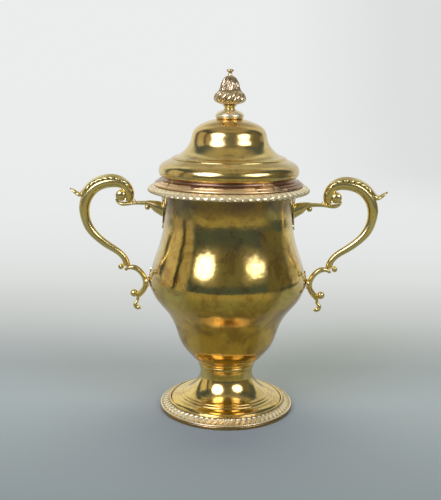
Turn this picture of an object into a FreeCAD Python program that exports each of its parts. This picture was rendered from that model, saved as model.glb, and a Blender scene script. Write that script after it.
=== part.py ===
import FreeCAD, Part
import math
import os
import re
import Sketcher
from FreeCAD import Placement, Rotation, Vector

# Two-handled gilt cup and cover.  Millimetres, +Z up, origin at the centre of
# the foot's underside, handles along X, the front towards -Y.

SIZES = [
    # alias, value, what it is
    ("solder_gap", 0.1, "clearance between pieces that are soldered together"),
    ("lid_gap", 0.3, "clearance between the cover and the mouth it rests on"),
    ("bezel_gap", 0.5, "radial clearance of the cover's bezel in the mouth"),
    ("stud_gap", 0.2, "radial clearance of the finial's stud"),
    # foot
    ("foot_radius", 69.0, "outer radius of the base ring's lip"),
    ("base_height", 4.6, "height of the base ring"),
    ("base_width", 10.4, "radial width of the base ring"),
    ("lip_height", 1.3, "height of the lip round the base ring"),
    ("lip_overhang", 0.6, "how far the lip stands out"),
    ("foot_band_radius", 60.6, "inner radius of the foot's gadroon band"),
    ("foot_band_height", 9.6, "height of the band's inner edge"),
    ("foot_bead", 1.1, "half thickness of the bead wire inside the band"),
    ("foot_lobes", 44, "gadroons round the foot"),
    ("foot_slant", 30, "slant of the foot's gadroons"),
    ("wall", 1.4, "thickness of the raised foot, cup and cover"),
    ("ovolo_radius", 49.6, "inner radius of the foot's ovolo"),
    ("ovolo_height", 15.3, "height of the ovolo's inner edge"),
    ("reed_width", 3.1, "radial width of each reed on the foot"),
    ("reed_rise", 1.3, "rise from one reed to the next"),
    ("waist_radius", 28.1, "smallest radius of the foot"),
    ("waist_height", 39.0, "height of the foot's waist"),
    ("stem_height", 44.6, "top of the foot's trumpet"),
    ("stem_radius", 29.2, "radius at the top of the trumpet"),
    # cup
    ("collar_bore", 23.0, "inner radius of the reeded collar"),
    ("seat_radius", 38.3, "radius where the bowl leaves the collar"),
    ("seat_height", 57.2, "height where the bowl leaves the collar"),
    ("bowl_floor_radius", 26.0, "radius of the bowl's flat floor"),
    ("bowl_floor_height", 51.5, "underside of the bowl's floor"),
    ("bowl_radius", 50.4, "radius of the lower bowl"),
    ("bowl_height", 74.0, "height of the lower bowl"),
    ("belly_radius", 81.4, "control radius of the belly"),
    ("belly_height", 136.0, "height of the belly"),
    ("neck_radius", 64.6, "control radius of the neck"),
    ("lip_radius", 68.0, "outer radius of the cup's lip"),
    ("lip_drop", 9.0, "height of the cup's straight lip"),
    ("rim_height", 236.0, "top of the cup's lip"),
    # rim
    ("rim_radius", 81.6, "outer radius of the rim's gadroon band"),
    ("rim_drop", 4.8, "fall of the band from the lip to its outer edge"),
    ("rim_edge", 1.8, "thickness of the band's outer edge"),
    ("rim_lobes", 72, "gadroons round the rim"),
    ("rim_slant", 40, "slant of the rim's gadroons"),
    ("mouth_radius", 72.6, "outer radius of the mouth ring"),
    ("mouth_bore", 64.4, "inner radius of the mouth ring"),
    ("mouth_height", 4.3, "height of the mouth ring"),
    # cover
    ("bezel_drop", 13.0, "how far the bezel reaches into the cup"),
    ("bezel_wall", 1.2, "thickness of the bezel"),
    ("cover_reed_radius", 71.6, "radius of the reed at the cover's edge"),
    ("cover_reed_height", 2.6, "height of that reed"),
    ("cover_groove_radius", 69.0, "radius of the groove above the reed"),
    ("bulge_radius", 71.6, "control radius of the cover's bulge"),
    ("bulge_rise", 9.9, "height of the bulge over the cover's edge"),
    ("step_radius", 58.0, "outer radius of the step on the cover"),
    ("step_rise", 21.3, "height of the step over the cover's edge"),
    ("step_width", 3.4, "radial width of the step"),
    ("dome_radius", 38.7, "radius of the dome's side"),
    ("dome_rise", 42.4, "height of the dome's side over the cover's edge"),
    ("crown_radius", 13.6, "radius of the flat crown under the finial"),
    ("crown_rise", 62.8, "height of the crown over the cover's edge"),
    # finial
    ("plate_height", 2.0, "height of the finial's plate"),
    ("finial_collar_radius", 8.9, "radius of the collar on the plate"),
    ("finial_neck_radius", 5.7, "radius of the finial's neck"),
    ("finial_stem_height", 9.2, "height of the finial's stem"),
    ("bud_radius", 14.6, "radius of the bud's core at its widest"),
    ("bud_height", 30.0, "height of the bud"),
    ("bud_lobes", 14, "swirled lobes round the bud"),
    ("bud_lobe_radius", 2.6, "half thickness of a swirled lobe"),
    ("bell_radius", 8.2, "radius of the bud's bell-shaped top"),
    ("bell_ribs", 14, "swirled ribs round the bell"),
    ("bud_swirl", 38, "lean of the swirled lobes"),
    ("knob_radius", 3.3, "radius of the knob on top"),
    ("knob_neck_radius", 1.8, "radius of the neck under the knob"),
    ("stud_radius", 2.0, "radius of the finial's stud"),
    ("nut_width", 7.0, "width of the nut across its flats"),
    ("nut_height", 3.2, "height of the nut"),
    ("washer_radius", 6.5, "radius of the washer"),
    ("washer_height", 1.0, "thickness of the washer"),
    # handles
    ("scroll_width", 5.2, "half width of the main scroll at the grip"),
    ("scroll_depth", 5.6, "half depth of the main scroll at the grip"),
    ("leaf_lap", 0.9, "how far the leaf stands out over the scroll's sides"),
    ("leaf_notch_radius", 1.5, "radius of the notches along the leaf's edges"),
    ("boss_radius", 5.5, "radius of the boss in the volute"),
    ("boss_width", 6.4, "half width of the boss"),
    ("boss_reach", 28.3, "how far the boss stands beyond the belly"),
    ("boss_drop", 12.7, "how far the boss hangs below the lip"),
    ("branch_width", 3.4, "half width of the branch"),
    ("branch_depth", 2.2, "half depth of the branch"),
    ("socket_width", 5.2, "half width of the socket at the cup"),
    ("socket_height", 22.0, "height of the socket at the cup"),
    ("socket_reach", 83.0, "distance of the socket's outer end from the axis"),
    ("pad_thickness", 1.5, "thickness of the pads on the cup"),
    ("upper_pad_width", 9.0, "half width of the upper pad"),
    ("upper_pad_drop", 11.5, "how far the upper pad hangs below the lip"),
    ("upper_pad_length", 34.5, "length of the upper pad"),
    ("lower_pad_width", 6.5, "half width of the lower pad"),
    ("lower_pad_rise", 12.0, "upper tip of the lower pad, above the belly"),
    ("lower_pad_length", 26.0, "length of the lower pad"),
    ("stub_radius", 3.0, "radius of the stub behind the lower scroll"),
    ("stub_drop", 2.5, "how far the stub sits below the belly"),
    ("lower_width", 3.6, "half width of the lower scroll"),
    ("lower_depth", 3.0, "half depth of the lower scroll"),
    ("ball_radius", 4.1, "radius of the lower scroll's ball"),
]
ALIASES = {alias for alias, value, note in SIZES}

doc = FreeCAD.newDocument("cup_and_cover")
sheet = doc.addObject("Spreadsheet::Sheet", "Sizes")
for row, (alias, value, note) in enumerate(SIZES, start=1):
    sheet.set(f"A{row}", alias)
    sheet.set(f"B{row}", str(value))
    sheet.setAlias(f"B{row}", alias)
    sheet.set(f"C{row}", note)
doc.recompute()


def bound(formula):
    """Returns a formula with its size names pointed at the sheet."""
    return re.sub(r"[a-z]\w*", lambda m: "Sizes." + m.group(0) if m.group(0) in ALIASES else m.group(0), formula)


def size(formula):
    """Works a formula of size names out as a plain number."""
    return float(sheet.evalExpression(bound(formula)))


# ---------------------------------------------------------------- sketches


def new_body(label):
    body = doc.addObject("PartDesign::Body", label)
    body.Label = label
    return body


def origin_part(body, role):
    """Finds an origin plane or axis of a body by its role."""
    return next(part for part in body.Origin.OriginFeatures if part.Role == role)


def new_sketch(body, label, plane="XZ_Plane"):
    sketch = body.newObject("Sketcher::SketchObject", label)
    sketch.AttachmentSupport = [(origin_part(body, plane), "")]
    sketch.MapMode = "FlatFace"
    return sketch


def pin(sketch, geometry, position, point):
    """Binds one point of a sketch to the two formulas of its coordinates."""
    for axis, formula in zip("XY", point):
        value = size(formula)
        if formula == "0":
            sketch.addConstraint(Sketcher.Constraint("PointOnObject", geometry, position, -2 if axis == "X" else -1))
            continue
        index = sketch.addConstraint(
            Sketcher.Constraint("Distance" + axis, -1, 1, geometry, position, value))
        sketch.setExpression(f"Constraints[{index}]", bound(formula))


def spline(points):
    """A clamped B-spline with the given control points."""
    degree = min(3, len(points) - 1)
    spans = len(points) - degree
    ends = [degree + 1]
    curve = Part.BSplineCurve()
    curve.buildFromPolesMultsKnots(
        points, ends + [1] * (spans - 1) + ends, [float(knot) for knot in range(spans + 1)], False, degree)
    return curve


def at(point):
    """The place in a sketch of a point given as two formulas."""
    return Vector(size(point[0]), size(point[1]), 0)


def draw_line(sketch, here, there):
    return sketch.addGeometry(Part.LineSegment(at(here), at(there)), False)


def draw_curve(sketch, points):
    """Adds a B-spline and binds the control points between its ends."""
    curve = sketch.addGeometry(spline([at(point) for point in points]), False)
    sketch.exposeInternalGeometry(curve)
    for number, point in enumerate(points[1:-1], start=2):
        pin(sketch, curve + number, 3, point)
    return curve


def draw_outline(sketch, start, *runs):
    """Draws a closed outline: a run of one point is a line, a longer one a B-spline."""
    first = None
    previous = None
    here = start
    closing = [] if runs[-1][-1] == start else [[start]]
    for run in list(runs) + closing:
        draw = draw_line(sketch, here, run[0]) if len(run) == 1 else draw_curve(sketch, [here] + list(run))
        if previous is None:
            first = draw
            pin(sketch, draw, 1, start)
        else:
            sketch.addConstraint(Sketcher.Constraint("Coincident", previous, 2, draw, 1))
        if run[-1] != start:
            pin(sketch, draw, 2, run[-1])
        previous = draw
        here = run[-1]
    sketch.addConstraint(Sketcher.Constraint("Coincident", previous, 2, first, 1))


# ---------------------------------------------------------------- features


def turned(body, label, start, *runs, kind="Revolution", angle=360, about="V_Axis"):
    """Turns an outline of (radius, height) formulas about the cup's axis."""
    sketch = new_sketch(body, label + "_profile")
    draw_outline(sketch, start, *runs)
    feature = body.newObject("PartDesign::" + kind, label)
    feature.Profile = sketch
    feature.ReferenceAxis = (sketch, [about])
    feature.Angle = angle
    feature.Midplane = angle != 360
    body.Tip = feature
    return feature


def around(body, feature, count):
    """Repeats a feature round the cup's axis."""
    pattern = body.newObject("PartDesign::PolarPattern", feature.Label + "_round")
    pattern.Originals = [feature]
    pattern.Axis = (origin_part(body, "Z_Axis"), [""])
    pattern.Angle = 360
    pattern.setExpression("Occurrences", bound(count))
    body.Tip = pattern
    return pattern


FRONT_PLANE = Placement(Vector(), Rotation(Vector(1, 0, 0), 90))


def pod(body, label, place, length, tail, head):
    """A gadroon turned about X of the place given: pointed at the tail, round at the head."""
    sketch = new_sketch(body, label + "_profile")
    sketch.AttachmentOffset = FRONT_PLANE.inverse().multiply(place)
    shoulder = (tail, tail)
    cheek = (f"{length} - {head}", head)
    nose = (length, "0")
    point = draw_line(sketch, ("0", "0"), shoulder)
    side = draw_line(sketch, shoulder, cheek)
    axis = draw_line(sketch, ("0", "0"), nose)
    arc = sketch.addGeometry(Part.ArcOfCircle(
        Part.Circle(at((cheek[0], "0")), Vector(0, 0, 1), size(head)), 0, math.pi / 2), False)
    for first, end, second, start in ((point, 1, axis, 1), (point, 2, side, 1), (side, 2, arc, 2), (axis, 2, arc, 1)):
        sketch.addConstraint(Sketcher.Constraint("Coincident", first, end, second, start))
    sketch.addConstraint(Sketcher.Constraint("Coincident", point, 1, -1, 1))
    pin(sketch, point, 2, shoulder)
    pin(sketch, side, 2, cheek)
    pin(sketch, axis, 2, nose)
    sketch.addConstraint(Sketcher.Constraint("PointOnObject", arc, 3, -1))
    feature = body.newObject("PartDesign::Revolution", label)
    feature.Profile = sketch
    feature.ReferenceAxis = (sketch, ["H_Axis"])
    feature.Angle = 360
    body.Tip = feature
    return feature


def swept(body, label, path, sections):
    """Sweeps moulded sections along a path in the plane of the handles.

    Each section is (share of the path, half width, depth on the outer side,
    depth on the inner side); its sides meet in a ridge along the middle.
    """
    spine = new_sketch(body, label + "_path")
    line = draw_curve(spine, path)
    pin(spine, line, 1, path[0])
    pin(spine, line, 2, path[-1])
    profiles = []
    for number, (share, width, outer, inner) in enumerate(sections):
        profile = body.newObject("Sketcher::SketchObject", f"{label}_section_{number}")
        profile.AttachmentSupport = [(spine, "Edge1")]
        profile.MapMode = "NormalToEdge"
        profile.MapPathParameter = share
        doc.recompute()
        if profile.Placement.Rotation.multVec(Vector(1, 0, 0)).y < 0:
            profile.AttachmentOffset = Placement(Vector(), Rotation(Vector(0, 0, 1), 180))
        full = 4 / 3
        draw_outline(
            profile,
            (f"-({width})", "0"),
            [(f"-({width}) * 0.8", f"({inner}) * {full}"), (f"({width}) * 0.8", f"({inner}) * {full}"), (width, "0")],
            [(f"({width}) * 0.8", f"-({outer}) * {full}"), (f"-({width}) * 0.8", f"-({outer}) * {full}"),
             (f"-({width})", "0")],
        )
        profiles.append(profile)
    feature = body.newObject("PartDesign::AdditivePipe", label)
    feature.Profile = profiles[0]
    feature.Spine = (spine, ["Edge1"])
    feature.Sections = [(profile, [""]) for profile in profiles[1:]]
    feature.Transformation = "Multisection"
    feature.Mode = "Standard"
    body.Tip = feature
    return feature


def curve_back(run, here):
    """The same run drawn from its far end to its start, here."""
    return run[-2::-1] + [here]


def both_sides(start, *runs):
    """Completes an outline, drawn up one side of the middle line, with its mirror image."""
    starts = [start] + [run[-1] for run in runs[:-1]]
    mirrored_runs = []
    for run, here in reversed(list(zip(runs, starts))):
        mirrored_runs.append([(y if y == "0" else f"-({y})", z) for y, z in curve_back(run, here)])
    return list(runs) + mirrored_runs


def carved(label, base, *tools):
    """Cuts the seats of neighbouring pieces out of a piece."""
    for number, tool in enumerate(tools, start=1):
        cut = doc.addObject("Part::Cut", label if number == len(tools) else f"{label}_cut_{number}")
        cut.Base = base
        cut.Tool = tool
        base = cut
    base.Label = label
    return base


def ring(label, start, *runs):
    """A piece turned about the cup's axis."""
    body = new_body(label)
    turned(body, label + "_turned", start, *runs)
    return body


parts = {}

# ---------------------------------------------------------------- heights

LIP_BOTTOM = "(rim_height - lip_drop)"
CUP_RISE = "(rim_height - belly_height)"
COVER_BOTTOM = "(rim_height + mouth_height + lid_gap)"
BULGE_HEIGHT = f"({COVER_BOTTOM} + bulge_rise)"
STEP_HEIGHT = f"({COVER_BOTTOM} + step_rise)"
DOME_HEIGHT = f"({COVER_BOTTOM} + dome_rise)"
CROWN_HEIGHT = f"({COVER_BOTTOM} + crown_rise)"
MOULDING_HEIGHT = "(cover_reed_height + 1.4)"
DOME_BOTTOM = f"({COVER_BOTTOM} + {MOULDING_HEIGHT} + solder_gap)"
PLATE_BOTTOM = f"({CROWN_HEIGHT} + solder_gap)"
STEM_BOTTOM = f"({PLATE_BOTTOM} + plate_height + solder_gap)"
BUD_BOTTOM = f"({STEM_BOTTOM} + finial_stem_height + solder_gap)"
KNOB_BOTTOM = f"({BUD_BOTTOM} + bud_height + solder_gap)"
STUD_HOLE = "(stud_radius + stud_gap)"

# ---------------------------------------------------------------- foot

BASE_BORE = "(foot_radius - base_width)"
LIP_FOOT = "(base_height - lip_height)"
parts["foot_base_ring"] = ring(
    "foot_base_ring",
    (BASE_BORE, "0"),
    [("foot_radius - lip_overhang", "0")],
    [("foot_radius - lip_overhang", LIP_FOOT)],
    [("foot_radius + lip_overhang * 0.3", LIP_FOOT), ("foot_radius + lip_overhang * 0.3", "base_height"),
     ("foot_radius - lip_overhang", "base_height")],
    [(BASE_BORE, "base_height")],
)

BAND_EDGE = "(foot_radius - 1.9)"
band = new_body("foot_gadroon_border")
turned(
    band, "foot_band",
    ("foot_band_radius", "base_height + solder_gap"),
    [(BAND_EDGE, "base_height + solder_gap")],
    [(BAND_EDGE, "base_height + 0.9")],
    [("foot_band_radius", "foot_band_height")],
)


def gadroon_place(outer, outer_height, inner, inner_height, slant, sink):
    """The frame of one gadroon: X runs out and down the band, turned by the slant."""
    slope = math.degrees(math.atan2(size(inner_height) - size(outer_height), size(outer) - size(inner)))
    lean = Rotation(Vector(0, 1, 0), slope).multiply(Rotation(Vector(0, 0, 1), slant))
    return Placement(Vector(size(inner), 0, size(inner_height) - size(sink)), lean)


FOOT_LOBE = "(3.1416 * foot_radius / foot_lobes * cos(foot_slant) - 0.9)"
lobe = pod(
    band, "foot_gadroon",
    gadroon_place(BAND_EDGE, "base_height + 0.9", "foot_band_radius + 0.6", "foot_band_height", -size("foot_slant"),
                  "1.4"),
    "(foot_radius - foot_band_radius) / cos(foot_slant) - 0.6", f"{FOOT_LOBE} * 0.72", FOOT_LOBE)
around(band, lobe, "foot_lobes")
turned(
    band, "foot_band_seat",
    ("foot_band_radius - 2", "0"),
    [("foot_radius + 9", "0")],
    [("foot_radius + 9", "base_height + solder_gap")],
    [("foot_band_radius - 2", "base_height + solder_gap")],
    kind="Groove",
)
parts["foot_gadroon_border"] = band

wire = doc.addObject("Part::Torus", "foot_bead_wire")
wire.setExpression("Radius1", bound("foot_band_radius - foot_bead"))
wire.setExpression("Radius2", bound("foot_bead"))
wire.setExpression("Placement.Base.z", bound("foot_band_height + foot_bead * 0.5"))
parts["foot_bead_wire"] = wire


def reeded(points, bulge):
    """Half-round reeds between neighbouring points of a slope."""
    runs = []
    for (r0, z0), (r1, z1) in zip(points, points[1:]):
        dr, dz = size(r1) - size(r0), size(z1) - size(z0)
        length = math.hypot(dr, dz)
        out, up = abs(dz) / length * bulge, -dr / length * bulge
        runs.append([(f"{r0} + {out:.3f}", f"{z0} + {up:.3f}"), (f"{r1} + {out:.3f}", f"{z1} + {up:.3f}"), (r1, z1)])
    return runs


SKIRT = "(foot_band_radius - solder_gap)"
BEAD_SHELF = "(foot_band_height - foot_bead * 0.5 - solder_gap)"
BEAD_BACK = "(foot_band_radius - foot_bead * 2 - solder_gap)"
REED_1 = "(ovolo_radius - reed_width)"
REED_2 = "(ovolo_radius - 2 * reed_width)"
REED_TOP = "(ovolo_height + 2 * reed_rise)"
parts["foot_shell"] = ring(
    "foot_shell",
    (f"{SKIRT} - wall", "base_height + solder_gap"),
    [(SKIRT, "base_height + solder_gap")],
    [(SKIRT, BEAD_SHELF)],
    [(BEAD_BACK, BEAD_SHELF)],
    [(BEAD_BACK, "foot_band_height + 2.4"), ("ovolo_radius + 5", "ovolo_height - 0.2"),
     ("ovolo_radius", "ovolo_height")],
    *reeded([("ovolo_radius", "ovolo_height"), (REED_1, "ovolo_height + reed_rise"), (REED_2, REED_TOP)], 1.1),
    [("waist_radius + 8.5", "waist_height - 17"), ("waist_radius + 1", "waist_height - 8"),
     ("waist_radius - 0.9", "waist_height - 1"), ("stem_radius", "stem_height")],
    [("stem_radius - wall", "stem_height")],
    [("waist_radius - 0.9 - wall", "waist_height - 1"), ("waist_radius + 1 - wall", "waist_height - 8"),
     ("waist_radius + 8.5 - wall", "waist_height - 17 - wall * 0.7"), (REED_2, f"{REED_TOP} - wall * 1.2")],
    [("ovolo_radius", "ovolo_height - wall * 1.2")],
    [("ovolo_radius + 4.6", "ovolo_height - wall - 0.6"), (f"{BEAD_BACK} - wall", "foot_band_height + 1"),
     (f"{SKIRT} - wall * 2", f"{BEAD_SHELF} - wall")],
    [(f"{SKIRT} - wall", f"{BEAD_SHELF} - wall * 1.4")],
)

COLLAR_BOTTOM = "(stem_height + solder_gap)"
collar_slope = [
    ("stem_radius", COLLAR_BOTTOM),
    ("stem_radius + 1.1", f"{COLLAR_BOTTOM} + 4.1"),
    ("stem_radius + 4.0", f"{COLLAR_BOTTOM} + 8.2"),
    ("seat_radius", "seat_height - solder_gap"),
]
parts["stem_collar"] = ring(
    "stem_collar",
    ("collar_bore", COLLAR_BOTTOM),
    [("stem_radius", COLLAR_BOTTOM)],
    *reeded(collar_slope, 0.8),
    [("bowl_floor_radius", "bowl_floor_height - solder_gap")],
    [("collar_bore", "bowl_floor_height - solder_gap")],
)

# ---------------------------------------------------------------- cup


def cup_curve(offset=""):
    """The cup's outer profile from its seat on the collar to its lip, moved out by the offset."""
    curve = [
        ("seat_radius", "seat_height"),
        ("seat_radius + 6.6", "seat_height + 6.8"),
        ("bowl_radius", "bowl_height"),
        ("bowl_radius + 3.4", "bowl_height + 16"),
        ("bowl_radius + 11.9", "bowl_height + 32"),
        ("belly_radius - 5.2", "belly_height - 16"),
        ("belly_radius", "belly_height"),
        ("belly_radius - 3.9", f"belly_height + {CUP_RISE} * 0.18"),
        ("neck_radius + 4.2", f"belly_height + {CUP_RISE} * 0.40"),
        ("neck_radius - 0.2", f"belly_height + {CUP_RISE} * 0.64"),
        ("neck_radius + 0.4", f"belly_height + {CUP_RISE} * 0.81"),
        ("lip_radius", LIP_BOTTOM),
    ]
    return [(radius + offset, height) for radius, height in curve]


outside = cup_curve()
inside = [(f"{radius} - wall", f"{height} + wall * {rise}") for (radius, height), rise in zip(
    outside, (0.9, 0.7, 0.5, 0.3, 0.3, 0.2, 0, 0, 0, 0, 0, 0))]
inside[-1] = ("mouth_bore", LIP_BOTTOM)
parts["cup_body"] = ring(
    "cup_body",
    ("0", "bowl_floor_height"),
    [("bowl_floor_radius", "bowl_floor_height")],
    [outside[0]],
    outside[1:],
    [("lip_radius", "rim_height")],
    [("mouth_bore", "rim_height")],
    [inside[-1]],
    inside[-2::-1],
    [("bowl_floor_radius", "bowl_floor_height + wall")],
    [("0", "bowl_floor_height + wall")],
)

# ---------------------------------------------------------------- rim

rim = new_body("rim_gadroon_border")
LIP_FACE = "(lip_radius + solder_gap)"
RIM_REACH = "(rim_radius - lip_radius)"
RIM_BAND = f"(lip_radius + {RIM_REACH} * 0.382)"
RIM_EDGE = "(rim_height - rim_drop)"
turned(
    rim, "rim_band",
    (LIP_FACE, LIP_BOTTOM),
    [(LIP_FACE, "rim_height")],
    [(RIM_BAND, "rim_height")],
    [("rim_radius", RIM_EDGE)],
    [("rim_radius - 0.6", f"{RIM_EDGE} - rim_edge")],
    [(f"lip_radius + {RIM_REACH} * 0.63", f"{RIM_EDGE} - rim_edge - 0.9"),
     (f"lip_radius + {RIM_REACH} * 0.29", f"{LIP_BOTTOM} + 0.4"), (LIP_FACE, LIP_BOTTOM)],
)
RIM_LOBE = "(3.1416 * rim_radius / rim_lobes * cos(rim_slant) - 0.25)"
lobe = pod(
    rim, "rim_gadroon",
    gadroon_place("rim_radius", RIM_EDGE, RIM_BAND, "rim_height", size("rim_slant"), "0.4"),
    f"(rim_radius - {RIM_BAND}) / cos(rim_slant) + 1.6", f"{RIM_LOBE} * 0.84", RIM_LOBE)
around(rim, lobe, "rim_lobes")
parts["rim_gadroon_border"] = rim

MOUTH_BOTTOM = "(rim_height + solder_gap)"
MOUTH_TOP = "(rim_height + mouth_height)"
parts["mouth_ring"] = ring(
    "mouth_ring",
    ("mouth_bore", MOUTH_BOTTOM),
    [("mouth_radius - 0.8", MOUTH_BOTTOM)],
    [("mouth_radius + 0.3", f"{MOUTH_BOTTOM} + 0.2"), ("mouth_radius + 0.3", f"{MOUTH_TOP} - 0.2"),
     ("mouth_radius - 0.8", MOUTH_TOP)],
    [("mouth_bore", MOUTH_TOP)],
)

# ---------------------------------------------------------------- cover

BEZEL_RADIUS = "(mouth_bore - bezel_gap)"
MOULDING_TOP = f"({COVER_BOTTOM} + {MOULDING_HEIGHT})"
parts["cover_bezel"] = ring(
    "cover_bezel",
    (f"{BEZEL_RADIUS} - bezel_wall", f"{COVER_BOTTOM} - bezel_drop"),
    [(BEZEL_RADIUS, f"{COVER_BOTTOM} - bezel_drop")],
    [(BEZEL_RADIUS, MOULDING_TOP)],
    [(f"{BEZEL_RADIUS} - bezel_wall", MOULDING_TOP)],
)
REED_TOP_EDGE = f"({COVER_BOTTOM} + cover_reed_height)"
parts["cover_base_moulding"] = ring(
    "cover_base_moulding",
    (f"{BEZEL_RADIUS} + solder_gap", COVER_BOTTOM),
    [("cover_reed_radius - 0.7", COVER_BOTTOM)],
    [("cover_reed_radius + 0.3", COVER_BOTTOM), ("cover_reed_radius + 0.3", REED_TOP_EDGE),
     ("cover_reed_radius - 0.7", REED_TOP_EDGE)],
    [("cover_groove_radius", REED_TOP_EDGE), ("cover_groove_radius - 0.4", f"{REED_TOP_EDGE} + 0.4"),
     ("cover_groove_radius", MOULDING_TOP)],
    [(f"{BEZEL_RADIUS} + solder_gap", MOULDING_TOP)],
)

bulge = [
    ("cover_groove_radius", DOME_BOTTOM),
    ("bulge_radius - 0.3", f"{BULGE_HEIGHT} - 3.8"),
    ("bulge_radius + 0.6", f"{BULGE_HEIGHT} + 3.2"),
    ("bulge_radius - 5.0", f"{BULGE_HEIGHT} + 8"),
    ("step_radius + 2.2", f"{STEP_HEIGHT} - 1.2"),
    ("step_radius", STEP_HEIGHT),
]
step = [("step_radius", STEP_HEIGHT), ("step_radius - step_width", f"{STEP_HEIGHT} + 2.4")]
dome = [
    ("step_radius - step_width", f"{STEP_HEIGHT} + 2.4"),
    ("dome_radius + 9.8", f"{DOME_HEIGHT} - 16.5"),
    ("dome_radius + 4.6", f"{DOME_HEIGHT} - 11"),
    ("dome_radius", f"{DOME_HEIGHT} - 5"),
    ("dome_radius - 1", f"{DOME_HEIGHT} + 3"),
    ("dome_radius - 3.2", f"{DOME_HEIGHT} + 11"),
    ("crown_radius + 9.3", f"{CROWN_HEIGHT} - 3.1"),
    ("crown_radius", CROWN_HEIGHT),
]


def lining(curve, across, down):
    """The inside of a raised wall: its outer curve set back by shares of the wall."""
    return [(f"{r} - wall * {a}", f"{z} - wall * {d}") for (r, z), a, d in zip(curve, across, down)]


bulge_inside = lining(bulge, (1, 1, 1, 0.7, 0.3, 0), (0, 0, 0.5, 0.9, 1, 1.1))
dome_inside = lining(dome, (0, 0.6, 0.8, 1, 1, 1, 0.4, 0), (1.4, 1.1, 0.6, 0.2, 0, 0.4, 1, 1))
parts["cover_dome"] = ring(
    "cover_dome",
    bulge[0],
    bulge[1:],
    *reeded(step, 0.7),
    dome[1:],
    [(STUD_HOLE, CROWN_HEIGHT)],
    [(STUD_HOLE, f"{CROWN_HEIGHT} - wall")],
    [dome_inside[-1]],
    dome_inside[-2::-1],
    [bulge_inside[-1]],
    [(bulge_inside[-2])] + bulge_inside[-3::-1],
)

# ---------------------------------------------------------------- finial

parts["finial_plate"] = ring(
    "finial_plate",
    (STUD_HOLE, PLATE_BOTTOM),
    [("crown_radius", PLATE_BOTTOM)],
    [("crown_radius", f"{PLATE_BOTTOM} + 0.6")],
    [("finial_collar_radius + 2.4", f"{PLATE_BOTTOM} + 0.8"), ("finial_collar_radius", f"{PLATE_BOTTOM} + 1.3"),
     ("finial_collar_radius - 0.3", f"{PLATE_BOTTOM} + plate_height")],
    [(STUD_HOLE, f"{PLATE_BOTTOM} + plate_height")],
)
STEM_TOP = f"({STEM_BOTTOM} + finial_stem_height)"
parts["finial_stem"] = ring(
    "finial_stem",
    (STUD_HOLE, STEM_BOTTOM),
    [("finial_collar_radius - 0.7", STEM_BOTTOM)],
    [("finial_collar_radius + 0.3", STEM_BOTTOM), ("finial_collar_radius + 0.3", f"{STEM_BOTTOM} + 1.3"),
     ("finial_collar_radius - 1", f"{STEM_BOTTOM} + 1.4")],
    [("finial_neck_radius + 0.4", f"{STEM_BOTTOM} + 1.8"), ("finial_neck_radius - 0.5", f"{STEM_BOTTOM} + 4"),
     ("finial_neck_radius - 0.1", f"{STEM_TOP} - 2.2"), ("finial_neck_radius + 1.6", STEM_TOP)],
    [(STUD_HOLE, STEM_TOP)],
)
BUD_TOP = f"({BUD_BOTTOM} + bud_height)"
STUD_TOP = f"({BUD_BOTTOM} + 7)"
bud = new_body("finial_bud")
turned(
    bud, "bud_core",
    (STUD_HOLE, BUD_BOTTOM),
    [("finial_neck_radius + 1.4", BUD_BOTTOM)],
    [("bud_radius - 4", f"{BUD_BOTTOM} + 1.2"), ("bud_radius + 1", f"{BUD_BOTTOM} + 3.6"),
     ("bud_radius + 1", f"{BUD_BOTTOM} + 9"), ("bell_radius + 2.6", f"{BUD_BOTTOM} + 12"),
     ("bell_radius + 0.6", f"{BUD_BOTTOM} + 16.2")],
    [("bell_radius + 0.1", f"{BUD_BOTTOM} + 22"), ("bell_radius - 0.5", f"{BUD_TOP} - 4"),
     ("bell_radius - 3", f"{BUD_TOP} - 0.3"), ("knob_neck_radius + 0.6", BUD_TOP)],
    [("0", BUD_TOP)],
    [("0", STUD_TOP)],
    [(STUD_HOLE, STUD_TOP)],
)


def leaning(radius, height, lean, tilt):
    """A frame on the bud: X runs up its side, tilted in or out and leaning round it."""
    upright = Rotation(Vector(0, 1, 0), -90 + tilt)
    return Placement(Vector(size(radius), 0, size(height)), Rotation(Vector(1, 0, 0), -lean).multiply(upright))


swirl = pod(bud, "bud_lobe", leaning("bud_radius - 2.2", f"{BUD_BOTTOM} + 3.4", size("bud_swirl"), 0),
            "10", "bud_lobe_radius * 0.7", "bud_lobe_radius")
around(bud, swirl, "bud_lobes")
rib = pod(bud, "bell_rib", leaning("bell_radius + 1.7", f"{BUD_BOTTOM} + 13.2", size("bud_swirl") * 0.45, -13),
          "11.5", "0.9", "1.2")
around(bud, rib, "bell_ribs")
parts["finial_bud"] = bud

parts["finial_knob"] = ring(
    "finial_knob",
    ("0", KNOB_BOTTOM),
    [("knob_neck_radius + 0.6", KNOB_BOTTOM)],
    [("knob_neck_radius - 0.2", f"{KNOB_BOTTOM} + 0.4"), ("knob_neck_radius - 0.2", f"{KNOB_BOTTOM} + 1.2"),
     ("knob_neck_radius", f"{KNOB_BOTTOM} + 1.7")],
    [("knob_radius - 0.3", f"{KNOB_BOTTOM} + 2"), ("knob_radius", f"{KNOB_BOTTOM} + 3.2"),
     ("knob_radius + 0.4", f"{KNOB_BOTTOM} + 5.1"), ("0", f"{KNOB_BOTTOM} + 5.1")],
)


def cylinder(label, radius, bottom, height):
    shape = doc.addObject("Part::Cylinder", label)
    shape.setExpression("Radius", bound(radius))
    shape.setExpression("Height", bound(height))
    shape.setExpression("Placement.Base.z", bound(bottom))
    return shape


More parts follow.
